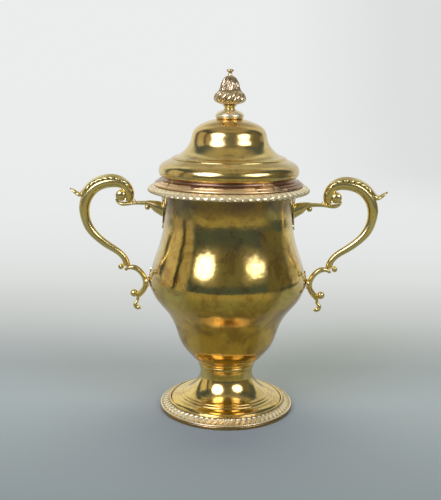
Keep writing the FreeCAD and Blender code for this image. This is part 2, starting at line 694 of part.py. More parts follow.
WASHER_TOP = f"({CROWN_HEIGHT} - wall - solder_gap)"
NUT_TOP = f"({WASHER_TOP} - washer_height - solder_gap)"
STUD_BOTTOM = f"({NUT_TOP} - nut_height - 1.5)"
parts["finial_stud"] = cylinder(
    "finial_stud", "stud_radius", STUD_BOTTOM, f"{STUD_TOP} - solder_gap - {STUD_BOTTOM}")
stud_bore = cylinder("stud_bore", STUD_HOLE, f"{STUD_BOTTOM} - 5", f"{STUD_TOP} - {STUD_BOTTOM} + 9")
parts["finial_washer"] = carved(
    "finial_washer",
    cylinder("washer_blank", "washer_radius", f"{WASHER_TOP} - washer_height", "washer_height"), stud_bore)
hexagon = doc.addObject("Part::Prism", "nut_blank")
hexagon.Polygon = 6
hexagon.setExpression("Circumradius", bound("nut_width / sqrt(3)"))
hexagon.setExpression("Height", bound("nut_height"))
hexagon.setExpression("Placement.Base.z", bound(f"{NUT_TOP} - nut_height"))
parts["finial_nut"] = carved("finial_nut", hexagon, stud_bore)

# ---------------------------------------------------------------- handles

BOSS_X = "(belly_radius + boss_reach)"
BOSS_Z = "(rim_height - boss_drop)"
SCROLL_DROP = f"({CUP_RISE} - 27)"
STUB_HEIGHT = "(belly_height - stub_drop)"
GRIP = ("scroll_width", "scroll_depth", "scroll_depth")


def by_boss(*points):
    """Points given from the boss in the volute."""
    return [(f"{BOSS_X} {x:+g}", f"{BOSS_Z} {z:+g}") for x, z in points]


def by_belly(*points):
    """Points given from the widest place of the cup."""
    return [(f"belly_radius {x:+g}", f"belly_height {z:+g}") for x, z in points]


def down_scroll(*points):
    """Points of the scroll's long side: out from the boss, and a share of the way down to its end."""
    return [(f"{BOSS_X} {x:+g}", f"{BOSS_Z} - {SCROLL_DROP} * {share:g}") for x, share in points]


def shrunk(share, factor):
    """A section of the main scroll at a share of its path, scaled from the grip's."""
    return (share, *(f"{value} * {factor}" for value in GRIP))


def button(label, x, z, radius, width):
    """A round button turned about a cross axis of the handle."""
    body = new_body(label)
    sketch = new_sketch(body, label + "_profile", "XY_Plane")
    sketch.setExpression("AttachmentOffset.Base.x", bound(x))
    sketch.setExpression("AttachmentOffset.Base.z", bound(z))
    draw_outline(
        sketch, ("0", f"-({width})"),
        [(f"{radius} * 0.75", f"-({width})"), (radius, f"-({width}) * 0.8"), (radius, f"-({width}) * 0.4")],
        [(radius, f"{width} * 0.4")],
        [(radius, f"{width} * 0.8"), (f"{radius} * 0.75", width), ("0", width)],
    )
    feature = body.newObject("PartDesign::Revolution", label + "_turned")
    feature.Profile = sketch
    feature.ReferenceAxis = (sketch, ["V_Axis"])
    feature.Angle = 360
    body.Tip = feature
    return body


def clear_of_cup(body, label, offset):
    """Cuts a piece back to the cup's side, moved out by the offset."""
    wall_curve = cup_curve(offset)
    turned(
        body, label,
        ("0", "seat_height"),
        [wall_curve[0]],
        wall_curve[1:],
        [("0", LIP_BOTTOM)],
        kind="Groove",
    )
    return body


def pad_on_cup(label, *outline):
    """A thin pad bent to the cup's side, its outline seen along X."""
    body = new_body(label)
    near, far = cup_curve(" + solder_gap"), cup_curve(" + pad_thickness")
    turned(body, label + "_shell", near[0], near[1:], [far[-1]], far[-2::-1], angle=40)
    sketch = new_sketch(body, label + "_trim", "YZ_Plane")
    reach = "foot_radius"
    draw_outline(
        sketch, (f"-{reach}", "0"), [(reach, "0")], [(reach, CROWN_HEIGHT)], [(f"-{reach}", CROWN_HEIGHT)])
    draw_outline(sketch, outline[0], *both_sides(*outline))
    feature = body.newObject("PartDesign::Pocket", label + "_outline")
    feature.Profile = sketch
    feature.Midplane = True
    feature.Length = 4 * size("foot_radius")
    body.Tip = feature
    return body


boss = button("right_volute_boss", BOSS_X, BOSS_Z, "boss_radius", "boss_width")

BRANCH_SPAN = f"({BOSS_X} - socket_reach)"
branch = new_body("right_branch_blank")
swept(
    branch, "right_branch_sweep",
    by_boss((4.6, -3.4), (3.6, -8), (-4, -9.2)) + [
        (f"socket_reach + {BRANCH_SPAN} * 0.55", f"{BOSS_Z} - 7.6"),
        (f"socket_reach + {BRANCH_SPAN} * 0.25", f"{BOSS_Z} - 7.4"), ("socket_reach", f"{BOSS_Z} - 7.4")],
    [(0, "branch_width * 0.6", "branch_depth * 0.5", "branch_depth * 0.5"),
     (0.3, "branch_width", "branch_depth", "branch_depth"),
     (0.6, "branch_width", "branch_depth * 0.8", "branch_depth * 0.9"),
     (1, "branch_width", "branch_depth", "branch_depth")],
)

scroll = new_body("right_scroll_blank")
swept(
    scroll, "right_scroll_sweep",
    by_boss((-6.2, -5), (-10.2, -2.2), (-7.5, 11.3), (3.6, 14.5), (19.6, 12.5), (30.4, 5), (37.7, -7.8))
    + down_scroll((37.2, 0.3), (32.6, 0.481), (22.9, 0.618), (11.7, 0.73), (-0.3, 0.819), (-5.6, 0.934), (-5.3, 1)),
    [shrunk(0, 0.54), shrunk(0.07, 0.62), shrunk(0.13, 0.8), shrunk(0.22, 1), shrunk(0.45, 1), shrunk(0.6, 0.84),
     shrunk(0.75, 0.72), shrunk(0.92, 0.6), shrunk(1, 0.62)],
)

lower = new_body("right_lower_blank")
SLIM = ("lower_width", "lower_depth", "lower_depth")
swept(
    lower, "right_lower_sweep",
    by_belly((24, 9.4), (22.6, 12.2), (15.5, 13.8), (8.8, 8.8), (3.7, 1.2), (3.2, -8.1), (8.6, -14.7), (12.5, -19.6),
             (11.8, -22.8)),
    [(share, *(f"{value} * {factor}" for value in SLIM)) for share, factor in (
        (0, 0.55), (0.2, 0.95), (0.5, 0.9), (0.8, 1), (1, 0.5))],
)

leaf = new_body("right_leaf_blank")
swept(
    leaf, "right_leaf_sweep",
    by_boss((-9.1, -2.3), (-11, 0.4), (-9.4, 7.1), (-4.5, 14.5), (4.4, 17.9), (13.6, 17.7), (22.4, 15.3), (30.2, 10.9),
            (36.5, 2.7), (42.8, -2), (49.5, 5.9), (51.5, 6.1)),
    [(0, "scroll_width * 0.6", "1.8", "1"),
     (0.15, "scroll_width * 0.8 + leaf_lap", "2.8", "2"),
     (0.4, "scroll_width + leaf_lap", "3.5", "2.6"),
     (0.7, "scroll_width + leaf_lap", "3.4", "2.6"),
     (0.82, "scroll_width * 0.9", "2.9", "2.6"),
     (0.92, "scroll_width * 0.5", "1.7", "1.7"),
     (1, "0.9", "0.6", "0.6")],
)

socket = new_body("right_upper_socket")
swept(
    socket, "right_socket_sweep",
    [("socket_reach - 34", f"{BOSS_Z} - 19"), ("socket_reach - 13", f"{BOSS_Z} - 18"),
     ("socket_reach - 7.5", f"{BOSS_Z} - 7.4"), ("socket_reach - solder_gap", f"{BOSS_Z} - 7.4")],
    [(0, "socket_width", "socket_height * 0.5", "socket_height * 0.5"),
     (0.65, "socket_width", "socket_height * 0.34", "socket_height * 0.28"),
     (1, "branch_width + 0.6", "branch_depth + 0.5", "branch_depth + 0.5")],
)
clear_of_cup(socket, "right_socket_seat", " + pad_thickness + solder_gap")

stub = new_body("right_lower_stub")
stub_profile = new_sketch(stub, "right_stub_profile")
stub_profile.setExpression("AttachmentOffset.Base.y", bound(STUB_HEIGHT))
draw_outline(
    stub_profile, ("belly_radius - 9", "0"),
    [("belly_radius + 3.6", "0")],
    [("belly_radius + 3.6", "stub_radius")],
    [("belly_radius - 1", "stub_radius"), ("belly_radius - 2", "stub_radius + 1.6"),
     ("belly_radius - 9", "stub_radius + 1.6")],
)
stub_turned = stub.newObject("PartDesign::Revolution", "right_stub_turned")
stub_turned.Profile = stub_profile
stub_turned.ReferenceAxis = (stub_profile, ["H_Axis"])
stub_turned.Angle = 360
stub.Tip = stub_turned
clear_of_cup(stub, "right_stub_seat", " + pad_thickness + solder_gap")


def notch(label, x, z):
    """A round cutter across both edges of the leaf."""
    shape = doc.addObject("Part::Cylinder", label)
    shape.setExpression("Radius", bound("leaf_notch_radius"))
    shape.setExpression("Height", bound("scroll_width * 4"))
    shape.Placement = Placement(Vector(), Rotation(Vector(1, 0, 0), 90))
    for axis, formula in (("x", x), ("y", "scroll_width * 2"), ("z", z)):
        shape.setExpression(f"Placement.Base.{axis}", bound(formula))
    return shape


def ball(label, x, z, radius):
    shape = doc.addObject("Part::Sphere", label)
    shape.setExpression("Radius", bound(radius))
    shape.setExpression("Placement.Base.x", bound(x))
    shape.setExpression("Placement.Base.z", bound(z))
    return shape


curl = button(
    "right_curl_blank", "belly_radius + 28.7", "belly_height + 13.2", "boss_radius * 0.5", "lower_width * 0.8")
drop_ball = ball("right_lower_ball", "belly_radius + 15.5", "belly_height - 14.7", "ball_radius")
bud_blank = ball("right_bud_blank", "socket_reach - 1.4", f"{BOSS_Z} - 13", "ball_radius * 0.68")

NOTCH_POINTS = [
    (-4.6, 11.9), (0.3, 15.2), (6.2, 16.6), (12.3, 16.6), (18.3, 15.4), (24.1, 13.1), (29.1, 9.8), (33.4, 5.3)]
notches = doc.addObject("Part::Compound", "right_leaf_notches")
notches.Links = [
    notch(f"right_leaf_notch_{number}", x, z) for number, (x, z) in enumerate(by_boss(*NOTCH_POINTS), start=1)]

tail = new_body("right_tail_blank")
swept(
    tail, "right_tail_sweep",
    by_belly((10.8, -22), (12.8, -24), (15.2, -26.6), (13.8, -30), (10.2, -30.2), (9, -28)),
    [(0, "lower_width * 0.5", "lower_depth * 0.45", "lower_depth * 0.45"),
     (0.5, "lower_width * 0.8", "lower_depth * 0.55", "lower_depth * 0.55"),
     (1, "lower_width * 0.7", "lower_depth * 0.5", "lower_depth * 0.5")],
)

PAD_TOP = "(rim_height - upper_pad_drop)"
PAD_POINT = f"({PAD_TOP} - upper_pad_length)"
LOWER_PAD_TOP = "(belly_height + lower_pad_rise)"
LOWER_PAD_POINT = f"({LOWER_PAD_TOP} - lower_pad_length)"
right_pieces = {
    "volute_boss": boss,
    "upper_socket": socket,
    "branch": carved("right_branch", branch, boss),
    "branch_bud": carved("right_branch_bud", bud_blank, socket, branch),
    "handle_scroll": carved("right_handle_scroll", scroll, boss, branch),
    "leaf_cap": carved("right_leaf_cap", leaf, scroll, boss, branch, notches),
    "upper_pad": pad_on_cup(
        "right_upper_pad",
        ("0", PAD_TOP),
        [("upper_pad_width * 0.7", PAD_TOP)],
        [("upper_pad_width * 1.1", f"{PAD_TOP} - 3"), ("upper_pad_width * 1.1", f"{PAD_TOP} - 12"),
         ("upper_pad_width * 0.6", f"{PAD_TOP} - 18")],
        [("upper_pad_width * 0.3", f"{PAD_TOP} - 23"), ("upper_pad_width * 0.12", f"{PAD_POINT} + 9"),
         ("upper_pad_width * 0.16", f"{PAD_POINT} + 5")],
        [("upper_pad_width * 0.4", f"{PAD_POINT} + 3"), ("upper_pad_width * 0.3", PAD_POINT),
         ("0", PAD_POINT)],
    ),
    "lower_stub": stub,
    "end_curl": carved("right_end_curl", curl, scroll),
    "lower_ball": drop_ball,
    "lower_scroll": carved("right_lower_scroll", lower, scroll, stub, curl, drop_ball),
    "tail_leaf": carved("right_tail_leaf", tail, lower, drop_ball),
    "lower_pad": pad_on_cup(
        "right_lower_pad",
        ("0", LOWER_PAD_TOP),
        [("lower_pad_width * 0.35", f"{LOWER_PAD_TOP} - 2"), ("lower_pad_width", f"{LOWER_PAD_TOP} - 6"),
         ("lower_pad_width", STUB_HEIGHT)],
        [("lower_pad_width", f"{LOWER_PAD_POINT} + 5"), ("lower_pad_width * 0.4", f"{LOWER_PAD_POINT} + 1"),
         ("0", LOWER_PAD_POINT)],
    ),
}
for name, piece in right_pieces.items():
    mirrored = doc.addObject("Part::Mirroring", "left_" + name)
    mirrored.Source = piece
    mirrored.Normal = Vector(1, 0, 0)
    parts["right_" + name] = piece
    parts["left_" + name] = mirrored

# ---------------------------------------------------------------- write

doc.recompute()
for item in doc.Objects:
    if "Invalid" in item.State or "Error" in item.State:
        raise RuntimeError(f"{item.Label} failed to build")
os.makedirs("parts", exist_ok=True)
for name, item in parts.items():
    item.Label = name
    shape = item.Shape
    if shape.isNull() or not shape.isValid():
        raise RuntimeError(f"{name} has no valid shape")
    shape.exportStep(f"parts/{name}.step")
    print(f"{name}: {len(shape.Solids)} solid, {len(shape.Faces)} faces, {shape.Volume:.0f} mm3, {shape.BoundBox}")
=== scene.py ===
import math

import bmesh
import bpy
from mathutils import Matrix, Vector, noise


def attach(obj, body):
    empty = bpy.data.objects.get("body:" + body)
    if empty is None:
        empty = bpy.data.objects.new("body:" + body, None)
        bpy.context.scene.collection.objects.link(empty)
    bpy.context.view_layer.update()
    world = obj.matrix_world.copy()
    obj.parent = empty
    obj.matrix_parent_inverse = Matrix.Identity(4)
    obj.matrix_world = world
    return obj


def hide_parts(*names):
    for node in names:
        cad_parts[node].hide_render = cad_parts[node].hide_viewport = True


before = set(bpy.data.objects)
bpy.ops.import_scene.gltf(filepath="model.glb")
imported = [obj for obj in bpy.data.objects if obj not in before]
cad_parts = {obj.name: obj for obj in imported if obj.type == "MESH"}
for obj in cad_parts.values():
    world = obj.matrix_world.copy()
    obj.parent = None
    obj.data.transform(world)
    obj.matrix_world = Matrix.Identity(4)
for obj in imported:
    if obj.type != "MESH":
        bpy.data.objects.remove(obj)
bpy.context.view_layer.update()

MM = 0.001
WELD = 1e-6
FULL_TURN = 2 * math.pi
DEGREES = 180 / math.pi

# Shapes are written in millimetres, as (distance from the axis, height) pairs for turned
# pieces and (along X, height) pairs for the handles, and become metres in their mesh.


def clamped(value):
    """The value kept between 0 and 1."""
    return max(0.0, min(1.0, value))


# ---------------------------------------------------------------- lines and turned pieces


def spline(points, steps):
    """Points along a clamped cubic B-spline with these control points."""
    degree = min(3, len(points) - 1)
    spans = len(points) - degree
    knots = [0] * degree + list(range(spans + 1)) + [spans] * degree

    def place(t):
        span = min(int(t), spans - 1) + degree
        work = [Vector(points[span - degree + i]) for i in range(degree + 1)]
        for level in range(1, degree + 1):
            for i in range(degree, level - 1, -1):
                low, high = knots[span - degree + i], knots[span + 1 + i - level]
                work[i] = work[i - 1].lerp(work[i], (t - low) / (high - low))
        return work[degree]

    return [place(spans * step / steps) for step in range(steps + 1)]


def eased(line, corner, reach, steps=4):
    """Rounds one corner of a line of points over a short reach each way."""
    spot = line[corner].copy()
    first = corner
    while first > 0 and (line[first] - spot).length < reach:
        first -= 1
    last = corner
    while last < len(line) - 1 and (line[last] - spot).length < reach:
        last += 1
    back, ahead = line[first] - spot, line[last] - spot
    into = spot + back.normalized() * min(reach, back.length)
    out = spot + ahead.normalized() * min(reach, ahead.length)
    bend = []
    for step in range(steps + 1):
        share = step / steps
        bend.append(into.lerp(spot, share).lerp(spot.lerp(out, share), share))
    return line[: first + 1] + bend + line[last:]


def profile(start, *runs, reach=0.3, spacing=0.9):
    """A line of points through runs: one point is a straight run, more are spline controls.

    reach is how far each corner between runs is rounded, and spacing the distance
    between points. A line that comes back to its start is closed.
    """
    line = [Vector(start)]
    corners = []
    for run in runs:
        controls = [line[-1]] + [Vector(point) for point in run]
        length = sum((there - here).length for here, there in zip(controls, controls[1:]))
        fewest = 2 if len(run) == 1 else 8
        line += spline(controls, max(fewest, int(length / spacing)))[1:]
        corners.append(len(line) - 1)
    closed = (line[-1] - line[0]).length < WELD
    for corner in reversed(corners[:-1]):
        line = eased(line, corner, reach)
    return line[:-1] if closed else line


def reeds(points, bulge):
    """Runs for half-round reeds between neighbouring points, bulging outwards and upwards."""
    runs = []
    for (r0, z0), (r1, z1) in zip(points, points[1:]):
        length = math.hypot(r1 - r0, z1 - z0)
        out, up = abs(z1 - z0) / length * bulge, (r0 - r1) / length * bulge
        runs.append([(r0 + out, z0 + up), (r1 + out, z1 + up), (r1, z1)])
    return runs


def verts_of(made):
    """The vertices among what a bmesh operator made."""
    return [item for item in made["geom"] if isinstance(item, bmesh.types.BMVert)]


def spun(bm, outline, count, steps):
    """Spins an outline through one of count sectors and repeats that round the cup's axis."""
    angle = FULL_TURN / count
    bmesh.ops.spin(
        bm, geom=outline, cent=(0, 0, 0), axis=(0, 0, 1), angle=angle, steps=steps,
        use_merge=False, use_duplicate=False)
    while count > 1:
        factor = next(number for number in range(2, count + 1) if count % number == 0)
        count //= factor
        sector = bm.verts[:] + bm.edges[:] + bm.faces[:]
        for copy in range(1, factor):
            made = bmesh.ops.duplicate(bm, geom=sector)
            bmesh.ops.rotate(
                bm, cent=(0, 0, 0), matrix=Matrix.Rotation(angle * copy, 3, "Z"),
                verts=verts_of(made))
        angle *= factor
    seams = [vert for vert in bm.verts if vert.is_boundary]
    bmesh.ops.remove_doubles(bm, verts=seams, dist=WELD)


def turned(line, steps=240):
    """Turns a line round the cup's axis: a closed one, or one from axis to axis."""
    sectors = 24
    bm = bmesh.new()
    verts = [bm.verts.new((max(r, 0) * MM, 0, z * MM)) for r, z in line]
    edges = [bm.edges.new(pair) for pair in zip(verts, verts[1:])]
    if line[0][0] > WELD or line[-1][0] > WELD:
        edges.append(bm.edges.new((verts[-1], verts[0])))
    spun(bm, verts + edges, sectors, steps // sectors)
    bmesh.ops.recalc_face_normals(bm, faces=bm.faces)
    return bm


def finished(bm, node, body, finish, crease=38):
    """Makes the mesh a shown piece that stands for its CAD node.

    crease is the angle, in degrees, from which an edge is drawn sharp.
    """
    mesh = bpy.data.meshes.new(node + "_gilt")
    bm.to_mesh(mesh)
    bm.free()
    mesh.shade_smooth()
    mesh.set_sharp_from_angle(angle=math.radians(crease))
    mesh.materials.append(finish)
    shown = bpy.data.objects.new(node + "_gilt", mesh)
    bpy.context.scene.collection.objects.link(shown)
    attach(shown, body)
    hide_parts(node)


# ---------------------------------------------------------------- shader nodes


def group_of(name, inputs, outputs):
    """An empty shader group, its input sockets and its output sockets by name."""
    group = bpy.data.node_groups.new(name, "ShaderNodeTree")
    for in_out, sockets in (("INPUT", inputs), ("OUTPUT", outputs)):
        for label, kind in sockets:
            group.interface.new_socket(
                name=label, in_out=in_out, socket_type="NodeSocket" + kind)
    given, out = group.nodes.new("NodeGroupInput"), group.nodes.new("NodeGroupOutput")
    return group, given.outputs, out.inputs


def add(tree, kind, **settings):
    """Adds a shader node with these settings."""
    node = tree.nodes.new("ShaderNode" + kind)
    for key, value in settings.items():
        setattr(node, key, value)
    return node


def feed(tree, socket, value):
    """Sets a socket to a number or a colour, or links another socket to it."""
    if isinstance(value, (int, float)):
        socket.default_value = value
    elif isinstance(value, tuple):
        socket.default_value = (*value, 1)
    else:
        tree.links.new(value, socket)


def maths(tree, operation, *values, clamp=False):
    """One operation on one or two values."""
    node = add(tree, "Math", operation=operation, use_clamp=clamp)
    for socket, value in zip(node.inputs, values):
        feed(tree, socket, value)
    return node.outputs[0]


def product(tree, first, *others):
    """Multiplies values together."""
    for other in others:
        first = maths(tree, "MULTIPLY", first, other)
    return first


def between(tree, value, low, high, out_low=0.0, out_high=1.0):
    """Maps a value smoothly from low..high to a new span."""
    node = add(tree, "MapRange", interpolation_type="SMOOTHSTEP", clamp=True)
    for label, given in (("Value", value), ("From Min", low), ("From Max", high),
                         ("To Min", out_low), ("To Max", out_high)):
        feed(tree, node.inputs[label], given)
    return node.outputs[0]


def window(tree, value, low, high, soft):
    """1 between low and high, fading out over a soft edge at each end."""
    return product(
        tree, between(tree, value, low - soft, low + soft),
        between(tree, value, high - soft, high + soft, 1.0, 0.0))


def mixed(tree, share, first, second):
    """Mixes two colours, each a socket or a plain colour."""
    node = add(tree, "Mix", data_type="RGBA", clamp_factor=True)
    for index, value in ((0, share), (6, first), (7, second)):
        feed(tree, node.inputs[index], value)
    return node.outputs[2]


def blended(tree, share, first, second):
    """Mixes two shaders."""
    node = add(tree, "MixShader")
    for socket, value in zip(node.inputs, (share, first, second)):
        tree.links.new(value, socket)
    return node.outputs[0]


def noise_of(tree, where, scale, detail, rough, distortion=0.0):
    """Cloudy noise from 0 to 1."""
    node = add(tree, "TexNoise")
    for label, given in (("Vector", where), ("Scale", scale), ("Detail", detail),
                         ("Roughness", rough), ("Distortion", distortion)):
        feed(tree, node.inputs[label], given)
    return node.outputs["Fac"]


def glow_of(tree, colour):
    """A shader that shows a colour as it is, whatever the light."""
    node = add(tree, "Emission")
    tree.links.new(colour, node.inputs["Color"])
    return node.outputs[0]


def bearing(tree, x, y):
    """Degrees round the cup from the viewer's side, growing to the viewer's right."""
    return product(tree, maths(tree, "ARCTAN2", x, product(tree, y, -1.0)), DEGREES)


# ---------------------------------------------------------------- finishes

STAIN_BROWN, STAIN_PURPLE, STAIN_BLUE = (0.36, 0.19, 0.06), (0.22, 0.15, 0.14), (0.14, 0.17, 0.22)
RUST, SPECK = (0.52, 0.29, 0.07), (0.16, 0.11, 0.05)


def tarnish_group():
    """Worn gilding: rusty blotches, dark specks and a bloom from brown to purple and blue."""
    group, given, out = group_of(
        "tarnish",
        [("Where", "Vector"), ("Gold", "Color"), ("Spread", "Float"), ("Size", "Float"),
         ("Blotches", "Float")],
        [("Color", "Color"), ("Stain", "Float")])
    where, blotches = given["Where"], given["Blotches"]
    cloud = noise_of(group, where, scale=given["Size"], detail=6, rough=0.66, distortion=0.5)
    veil = noise_of(group, where, scale=9.0, detail=3, rough=0.5)
    bloom = between(group, maths(group, "ADD", cloud, product(group, veil, 0.6)), 0.70, 0.98)
    amount = maths(group, "MULTIPLY", bloom, given["Spread"], clamp=True)
    hue = noise_of(group, where, scale=34.0, detail=3, rough=0.55, distortion=0.8)
    stain = mixed(group, between(group, hue, 0.4, 0.56), STAIN_BROWN, STAIN_PURPLE)
    stain = mixed(group, between(group, hue, 0.55, 0.68), stain, STAIN_BLUE)
    rust = noise_of(group, where, scale=48.0, detail=6, rough=0.7, distortion=0.6)
    rusty = product(group, between(group, rust, 0.47, 0.66), blotches)
    colour = mixed(group, amount, mixed(group, rusty, given["Gold"], RUST), stain)
    specks = noise_of(group, where, scale=330.0, detail=3, rough=0.65)
    speck = between(group, specks, 0.63, 0.72)
    worn = maths(group, "MULTIPLY", speck, maths(group, "ADD", blotches, 0.2), clamp=True)
    group.links.new(mixed(group, worn, colour, SPECK), out["Color"])
    group.links.new(maths(group, "MAXIMUM", amount, worn), out["Stain"])
    return group


def wear_group():
    """Fine scratches two ways, and the slight waves and dents of hand-raised metal."""
    group, given, out = group_of(
        "rubbed_metal", [("Where", "Vector"), ("Waves", "Float")],
        [("Height", "Float"), ("Haze", "Float")])
    where = given["Where"]
    ways = []
    for turn, stretch in (
            ((0.35, 0.2, 0.0), (1.0, 1.0, 16.0)), ((1.2, 0.6, 0.8), (1.0, 14.0, 1.0))):
        long_way = add(group, "Mapping")
        long_way.inputs["Scale"].default_value = stretch
        long_way.inputs["Rotation"].default_value = turn
        group.links.new(where, long_way.inputs["Vector"])
        ways.append(noise_of(group, long_way.outputs[0], scale=170.0, detail=4, rough=0.75))
    scratches = maths(group, "MAXIMUM", *ways)
    specks = noise_of(group, where, scale=700.0, detail=2, rough=0.6)
    swell = noise_of(group, where, scale=24.0, detail=2, rough=0.4)
    dents = noise_of(group, where, scale=75.0, detail=2, rough=0.5)
    waves = maths(group, "ADD", swell, product(group, dents, 0.22))
    marks = product(group, maths(group, "ADD", scratches, product(group, specks, 0.5)), 0.03)
    height = maths(group, "ADD", marks, product(group, waves, given["Waves"]))
    group.links.new(height, out["Height"])
    group.links.new(between(group, scratches, 0.5, 0.78), out["Haze"])
    return group


TARNISH = tarnish_group()
WEAR = wear_group()


def gilding(name, gold, *, spread, size, smooth, rough, waves, depth, blotches, lacquer,
            recess_shade=None, bands=(), metal=1.0):
    """Polished gilding.

    spread, size and blotches set the tarnish, smooth and rough the roughness where it
    is clean and where it is stained, waves and depth (in metres) the unevenness, and
    lacquer the clear coat. The recess colour is painted shade laid into the recesses.
    Each band fades the gold, by height, to three colours. metal under 1 gives a cast
    piece's dull surface.
    """
    finish = bpy.data.materials.new(name)
    finish.use_nodes = True
    finish.diffuse_color = (*gold, 1)
    tree = finish.node_tree
    place = add(tree, "TexCoord").outputs["Object"]
    tarnish = add(tree, "Group", node_tree=TARNISH)
    for label, given in (("Where", place), ("Gold", gold), ("Spread", spread), ("Size", size),
                         ("Blotches", blotches)):
        feed(tree, tarnish.inputs[label], given)
    colour, stain = tarnish.outputs["Color"], tarnish.outputs["Stain"]
    if bands:
        split = add(tree, "SeparateXYZ")
        tree.links.new(place, split.inputs[0])
        patches = noise_of(tree, place, scale=26.0, detail=5, rough=0.62, distortion=0.7)
        patchy = between(tree, patches, 0.4, 0.58)
        dapples = noise_of(tree, place, scale=60.0, detail=4, rough=0.6)
        dapple = between(tree, dapples, 0.46, 0.64)
        level = maths(tree, "ADD", split.outputs["Z"], product(tree, patches, 0.05))
    for start, full, share, dark, light, dim in bands:
        band = between(tree, level, start, full, 0.0, share)
        tone = mixed(tree, dapple, mixed(tree, patchy, dark, light), dim)
        colour = mixed(tree, band, colour, tone)
        stain = maths(tree, "MAXIMUM", stain, product(tree, band, 0.35))
    # Painted shade: where the mesh's attribute marks a recess, the gold is darkened towards the
    # given recess colour.
    if recess_shade:
        mark = add(tree, "Attribute", attribute_name="recess_shade")
        colour = mixed(tree, mark.outputs["Fac"], colour, recess_shade)
    wear = add(tree, "Group", node_tree=WEAR)
    feed(tree, wear.inputs["Where"], place)
    feed(tree, wear.inputs["Waves"], waves)
    haze = maths(tree, "ADD", product(tree, wear.outputs["Haze"], 0.5), stain, clamp=True)
    bump = add(tree, "Bump")
    for label, given in (("Strength", 1.0), ("Distance", depth),
                         ("Height", wear.outputs["Height"])):
        feed(tree, bump.inputs[label], given)
    shader = tree.nodes["Principled BSDF"]
    for label, given in (("Base Color", colour), ("Normal", bump.outputs[0]), ("Metallic", metal),
                         ("Roughness", between(tree, haze, 0.0, 1.0, smooth, rough)),
                         ("Coat Weight", lacquer), ("Coat Roughness", 0.12)):
        feed(tree, shader.inputs[label], given)
    return finish


# Bands of tarnish and of painted shade and glow: the level at which one begins and the level
# at which it is whole, in metres above the foot plus a little for the patches, its greatest
# share, and its three colours.
# Partly tarnish bloom, partly painted shadow and reflection under the rim's overhanging border.
neck_bloom_and_shadow = (
    0.231, 0.246, 0.92, (0.17, 0.11, 0.07), (0.33, 0.225, 0.08), (0.18, 0.125, 0.095))
bowl_rust = (
    0.158, 0.136, 0.85, (0.50, 0.27, 0.05), (0.95, 0.57, 0.09), (0.76, 0.46, 0.09))
# A warmer tone over the crown, which also paints the warm glow round its highlights.
crown_tone_and_glow = (
    0.300, 0.318, 0.5, (0.62, 0.36, 0.10), (0.84, 0.57, 0.17), (0.72, 0.48, 0.18))
# Painted shade: dark brown in the cove of the cover's moulding, under the dome's bulge.
groove_shade = (
    0.2655, 0.2662, 0.9, (0.20, 0.10, 0.06), (0.30, 0.16, 0.09), (0.24, 0.13, 0.08))

body_gilt = gilding(
    "body_gilding", (0.80, 0.59, 0.15), spread=0.35, size=20.0, smooth=0.08, rough=0.26,
    waves=0.9, depth=0.0010, blotches=0.8, lacquer=0.35, bands=(neck_bloom_and_shadow, bowl_rust))
foot_gilt = gilding(
    "foot_gilding", (0.90, 0.66, 0.20), spread=0.2, size=26.0, smooth=0.13, rough=0.28,
    waves=0.6, depth=0.0008, blotches=0.5, lacquer=0.25)
base_gilt = gilding(
    "base_gilding", (0.54, 0.37, 0.15), spread=0.6, size=40.0, smooth=0.22, rough=0.4,
    waves=0.4, depth=0.0006, blotches=0.8, lacquer=0.1)
cover_gilt = gilding(
    "cover_gilding", (0.83, 0.63, 0.21), spread=0.22, size=24.0, smooth=0.17, rough=0.32,
    waves=0.7, depth=0.0009, blotches=0.5, lacquer=0.3, bands=(crown_tone_and_glow,))
rose_gilt = gilding(
    "rose_gilding", (1.0, 0.70, 0.33), spread=0.1, size=30.0, smooth=0.28, rough=0.4,
    waves=0.3, depth=0.0006, blotches=0.2, lacquer=0.3, bands=(groove_shade,), metal=0.86)
cast_gilt = gilding(
    "cast_gilding", (1.0, 0.85, 0.49), spread=0.1, size=60.0, smooth=0.27, rough=0.4,
    waves=0.2, depth=0.0004, blotches=0.2, lacquer=0.2, recess_shade=(0.36, 0.26, 0.09), metal=0.74)
bud_gilt = gilding(
    "bud_gilding", (0.84, 0.68, 0.39), spread=0.1, size=60.0, smooth=0.24, rough=0.36,
    waves=0.2, depth=0.0003, blotches=0.2, lacquer=0.3, recess_shade=(0.26, 0.18, 0.10))
handle_gilt = gilding(
    "handle_gilding", (0.89, 0.74, 0.30), spread=0.1, size=50.0, smooth=0.21, rough=0.34,
    waves=0.25, depth=0.0002, blotches=0.2, lacquer=0.3, recess_shade=(0.20, 0.14, 0.05))

# ---------------------------------------------------------------- foot

base_strip = profile(
    (58.6, 0), [(69.0, 0)], [(69.7, 0.1), (69.7, 3.1), (69.0, 3.2)], [(58.6, 3.2)], [(58.6, 0)])
finished(turned(base_strip), "foot_base_ring", "cup", base_gilt)

wire_reach, wire_height, wire_radius, wire_sides = 59.5, 9.2, 1.1, 20
bead_wire = []
for side in range(wire_sides):
    turn = FULL_TURN * side / wire_sides
    bead_wire.append(Vector((
        wire_reach + wire_radius * math.cos(turn), wire_height + wire_radius * math.sin(turn))))
finished(turned(bead_wire), "foot_bead_wire", "cup", foot_gilt)

